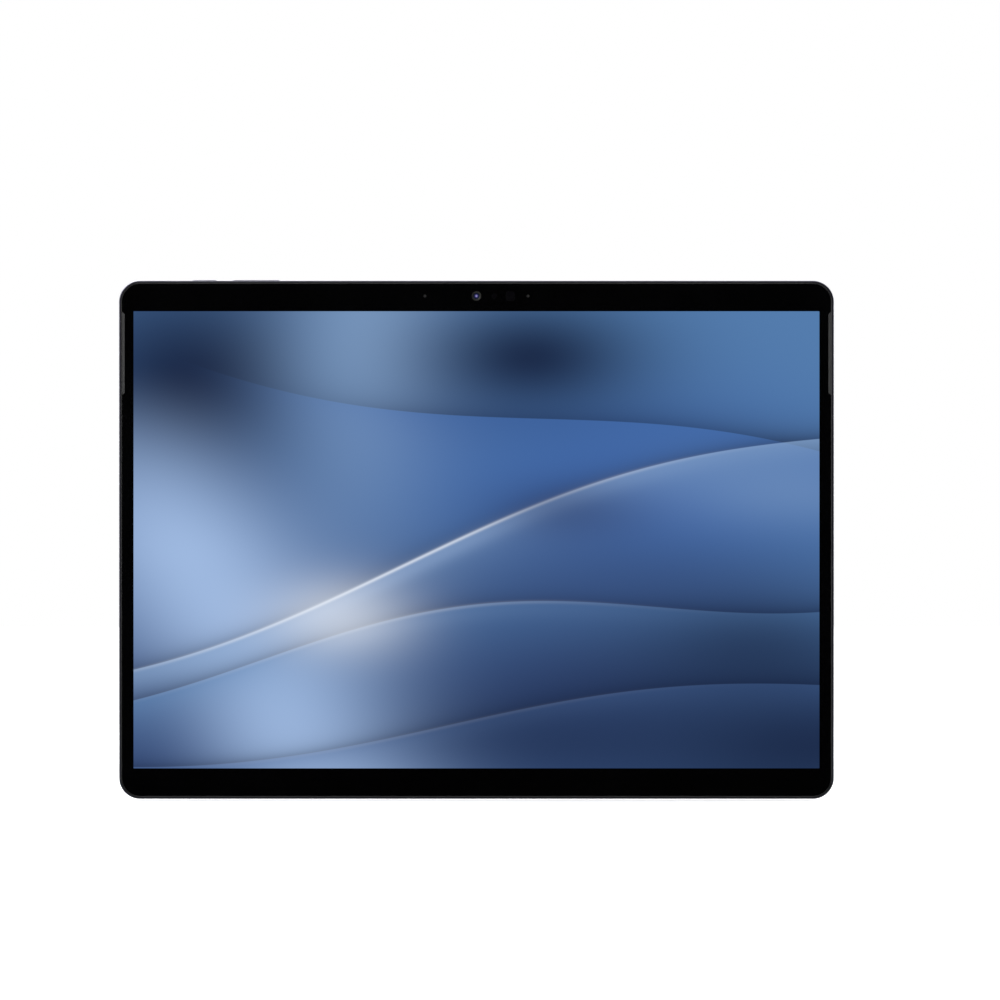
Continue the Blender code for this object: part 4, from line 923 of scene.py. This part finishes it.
# each patch of light or dark: its middle across and up, its reach across and up, colour, strength
BEHIND_WAVES = (
    (-0.80, 0.70, 0.50, 0.52, NAVY, 0.97),
    (-0.30, 0.80, 0.26, 0.75, SKY, 0.90),
    (0.45, 0.20, 0.60, 0.45, ROYAL, 0.95),
    (0.16, 0.80, 0.36, 0.28, NAVY, 0.93),
    (0.30, -0.65, 0.75, 0.50, INK, 0.85),
    (0.95, 0.22, 0.35, 0.16, SKY, 0.45),
    (1.00, -0.85, 0.75, 0.50, NAVY, 0.95),
)
OVER_WAVES = (
    (0.27, 0.12, 0.24, 0.15, INK, 0.60),
    (0.42, -0.17, 0.60, 0.20, INK, 0.38),
    (0.82, -0.45, 0.34, 0.22, NAVY, 0.55),
    (0.14, -0.88, 0.42, 0.24, NAVY, 0.50),
    (-0.40, -0.34, 0.20, 0.17, WHITE, 0.48),
)
BEAM_WIDTH = 0.30
picture = dabbed((u * 0.5 + v * 0.5).smooth(-0.9, 0.9).mix(SLATE, STEEL), BEHIND_WAVES)
beam = spread(u * 0.90 + v * 0.34 + 0.78, BEAM_WIDTH)
picture = (beam * v.smooth(0.80, -0.10)).mix(picture, PALE)
picture = dabbed(picture, [(-1.05, -1.00, 0.28, 0.45, INK, 0.85)])

# each wave: rise, slope, swing, pitch, phase, depth below the crest, colour, strength, where it starts
# across, and the light on its crest
WAVES = (
    (0.60, -0.36, 0.15, 2.1, -0.4, 0.55, ROYAL, 0.55, -0.90, 0.00),
    (-0.02, 0.42, 0.13, 2.3, 0.5, 0.28, SKY, 0.66, -3.00, 0.80),
    (-0.40, 0.20, 0.12, 2.7, 1.7, 0.26, STEEL, 0.56, -3.00, 0.16),
    (-0.80, 0.12, 0.09, 2.4, 0.2, 0.26, SLATE, 0.55, -3.00, 0.06),
)
for *curve, depth, colour, strength, start, line in WAVES:
    below = (wave(*curve) - v) / depth
    inside = below.smooth(0.0, 0.004 / depth)
    begun = u.smooth(start, start + 0.9)
    veil = (below * -2.2).maths("EXPONENT")
    shade = (below * 7.0).maths("EXPONENT")
    picture = (shade.maths("MINIMUM", shade, 1.0) * (1.0 - inside) * begun * 0.50).mix(picture, NAVY)
    picture = (veil.maths("MINIMUM", veil, 1.0) * inside * begun * strength).mix(picture, colour)
    if line:
        crest = below * depth - 0.006
        picture = (spread(crest, 0.008) * spread(u + 0.22, 0.55) * line).mix(picture, WHITE)
        picture = (spread(crest - 0.03, 0.045) * spread(u + 0.22, 0.60) * line * 0.45).mix(picture, PALE)
picture = dabbed(picture, OVER_WAVES)
feed(shader, Base_Color=(0.0, 0.0, 0.0), Roughness=0.04, Specular_IOR_Level=0.35,
     Emission_Color=picture, Emission_Strength=1.0)
bm = slab(view_low, view_high)
piece(bm, "display_window", material, ["lcd_panel"])


# ---------------------------------------------------------------------------------------------------
# Cover glass. One polished sheet, printed black on its back round a clear window. It has a notch for
# each speaker, two microphone holes, and openings in the print for the camera and the sensors.
# ---------------------------------------------------------------------------------------------------
GLASS_ROUND, GLASS_STEPS = 0.07 * MM, 3
GRILLE_GAP = 0.04 * MM
LENS_HOLE, MIC_HOLE, LIGHT_HOLE = 1.96 * MM, 0.60 * MM, 1.0 * MM
EYE = Vector((3.5, 0.0, 3.9)) * MM
EYE_ROUND = 1.3 * MM
FIT = 0.02 * MM
PRINT_DEPTH = 0.35 * MM

sensor_z = spot("front_camera_module")[2].z
front_mics = {side: spot(f"microphone_{side}")[2].x for side in ("left", "right")}
light_x = spot("light_sensor")[2].x
eye_x = spot("proximity_sensor")[2].x
face = glass_low.y
past_glass = (glass_low.y - MM, glass_high.y + MM)

material, shader, place = shader_of("printed_glass")
smear = noise(place, 30.0, 4.0, 0.6)
feed(shader, Base_Color=smear.smooth(0.3, 0.8).mix((0.0006, 0.0006, 0.0007), (0.0010, 0.0010, 0.0012)),
     Roughness=smear * 0.03 + 0.02, Specular_IOR_Level=0.35)
printed_glass = material


def eye_block(front, back, fit=0.0):
    """The rounded window of the proximity sensor."""
    half = EYE / 2 - Vector((fit, 0, fit))
    low = (eye_x - half.x, front, sensor_z - half.z)
    return slab(low, (eye_x + half.x, back, sensor_z + half.z), EYE_ROUND)


bm = slab(glass_low, glass_high, CORNER - (glass_low.x - housing_low.x), steps=CORNER_STEPS)
rounded(bm, edges_at(bm, 1, face), GLASS_ROUND, GLASS_STEPS)
cutters = [slab((view_low.x, past_glass[0], view_low.z), (view_high.x, past_glass[1], view_high.z)),
           eye_block(*past_glass), disc(0.0, sensor_z, LENS_HOLE, *past_glass),
           disc(light_x, sensor_z, LIGHT_HOLE, *past_glass)]
cutters += [disc(x, sensor_z, MIC_HOLE, *past_glass) for x in front_mics.values()]
cutters += [grille_shape(side, GRILLE_GAP, *past_glass) for side in ("left", "right")]
piece(pierced(bm, cutters), "cover_glass_border", printed_glass, ["cover_glass"])


# ---------------------------------------------------------------------------------------------------
# Sensor row. Under the glass, from the left: a microphone, the front camera in its stepped ring, the
# light sensor, the proximity window and the second microphone.
# ---------------------------------------------------------------------------------------------------
FRONT_RING_INNER, FRONT_STEP = 1.26 * MM, 1.55 * MM
FRONT_RING_DROP, FRONT_RING_FOOT = 0.12 * MM, 0.55 * MM
FRONT_LENS, FRONT_LENS_RISE = 1.24 * MM, 0.30 * MM
MESH_DROP = 0.12 * MM

material, shader, place = shader_of("sensor_window")
tint = noise(place, 900.0, 2.0)
feed(shader, Base_Color=tint.smooth(0.2, 0.8).mix((0.0018, 0.0017, 0.0023), (0.0030, 0.0028, 0.0036)),
     Roughness=tint * 0.04 + 0.05, Specular_IOR_Level=0.35)
sensor_window = material
bm = eye_block(face, face + PRINT_DEPTH, FIT)
piece(bm, "proximity_window", sensor_window, ["proximity_sensor"])
bm = disc(light_x, sensor_z, LIGHT_HOLE - FIT, face, face + PRINT_DEPTH)
piece(bm, "light_sensor_window", sensor_window, ["light_sensor"])

material, shader, place = shader_of("microphone_mesh")
x, _, z = axes(place)
weave = (x * turns).maths("SINE") * (z * turns).maths("SINE")
feed(shader, Base_Color=weave.smooth(-0.6, 0.6).mix((0.008, 0.008, 0.008), (0.050, 0.050, 0.050)),
     Roughness=0.6, Metallic=0.4, Normal=bumped(weave, 0.02 * MM, 0.7))
microphone_mesh = material
for side, x in front_mics.items():
    bm = disc(x, sensor_z, MIC_HOLE - FIT / 2, face + MESH_DROP, face + PRINT_DEPTH)
    piece(bm, f"microphone_mesh_{side}", microphone_mesh, [f"microphone_{side}"])

front_centre = Vector((0.0, face, sensor_z))
front_ring_grey = moulded("front_ring_grey", (0.0120, 0.0125, 0.0105), (0.0220, 0.0225, 0.0200), 0.35)
ring = [(FRONT_RING_INNER, face + FRONT_RING_FOOT), (LENS_HOLE - FIT, face + FRONT_RING_FOOT),
        (LENS_HOLE - FIT, face + FRONT_RING_DROP / 2), (FRONT_STEP, face + FRONT_RING_DROP),
        (FRONT_RING_INNER, face + 2 * FRONT_RING_DROP)]
bm = eased(turned(ring, front_centre), FIT)
piece(bm, "front_camera_ring", front_ring_grey)
bm = dome(front_centre, FRONT_LENS, face + FRONT_RING_FOOT, FRONT_LENS_RISE)
piece(bm, "front_camera_lens", lens_coating_and_painted_glint("front_lens_coating_painted_glint", front_centre, FRONT_LENS))
on_nodes(black_moulding, "front_camera_module")
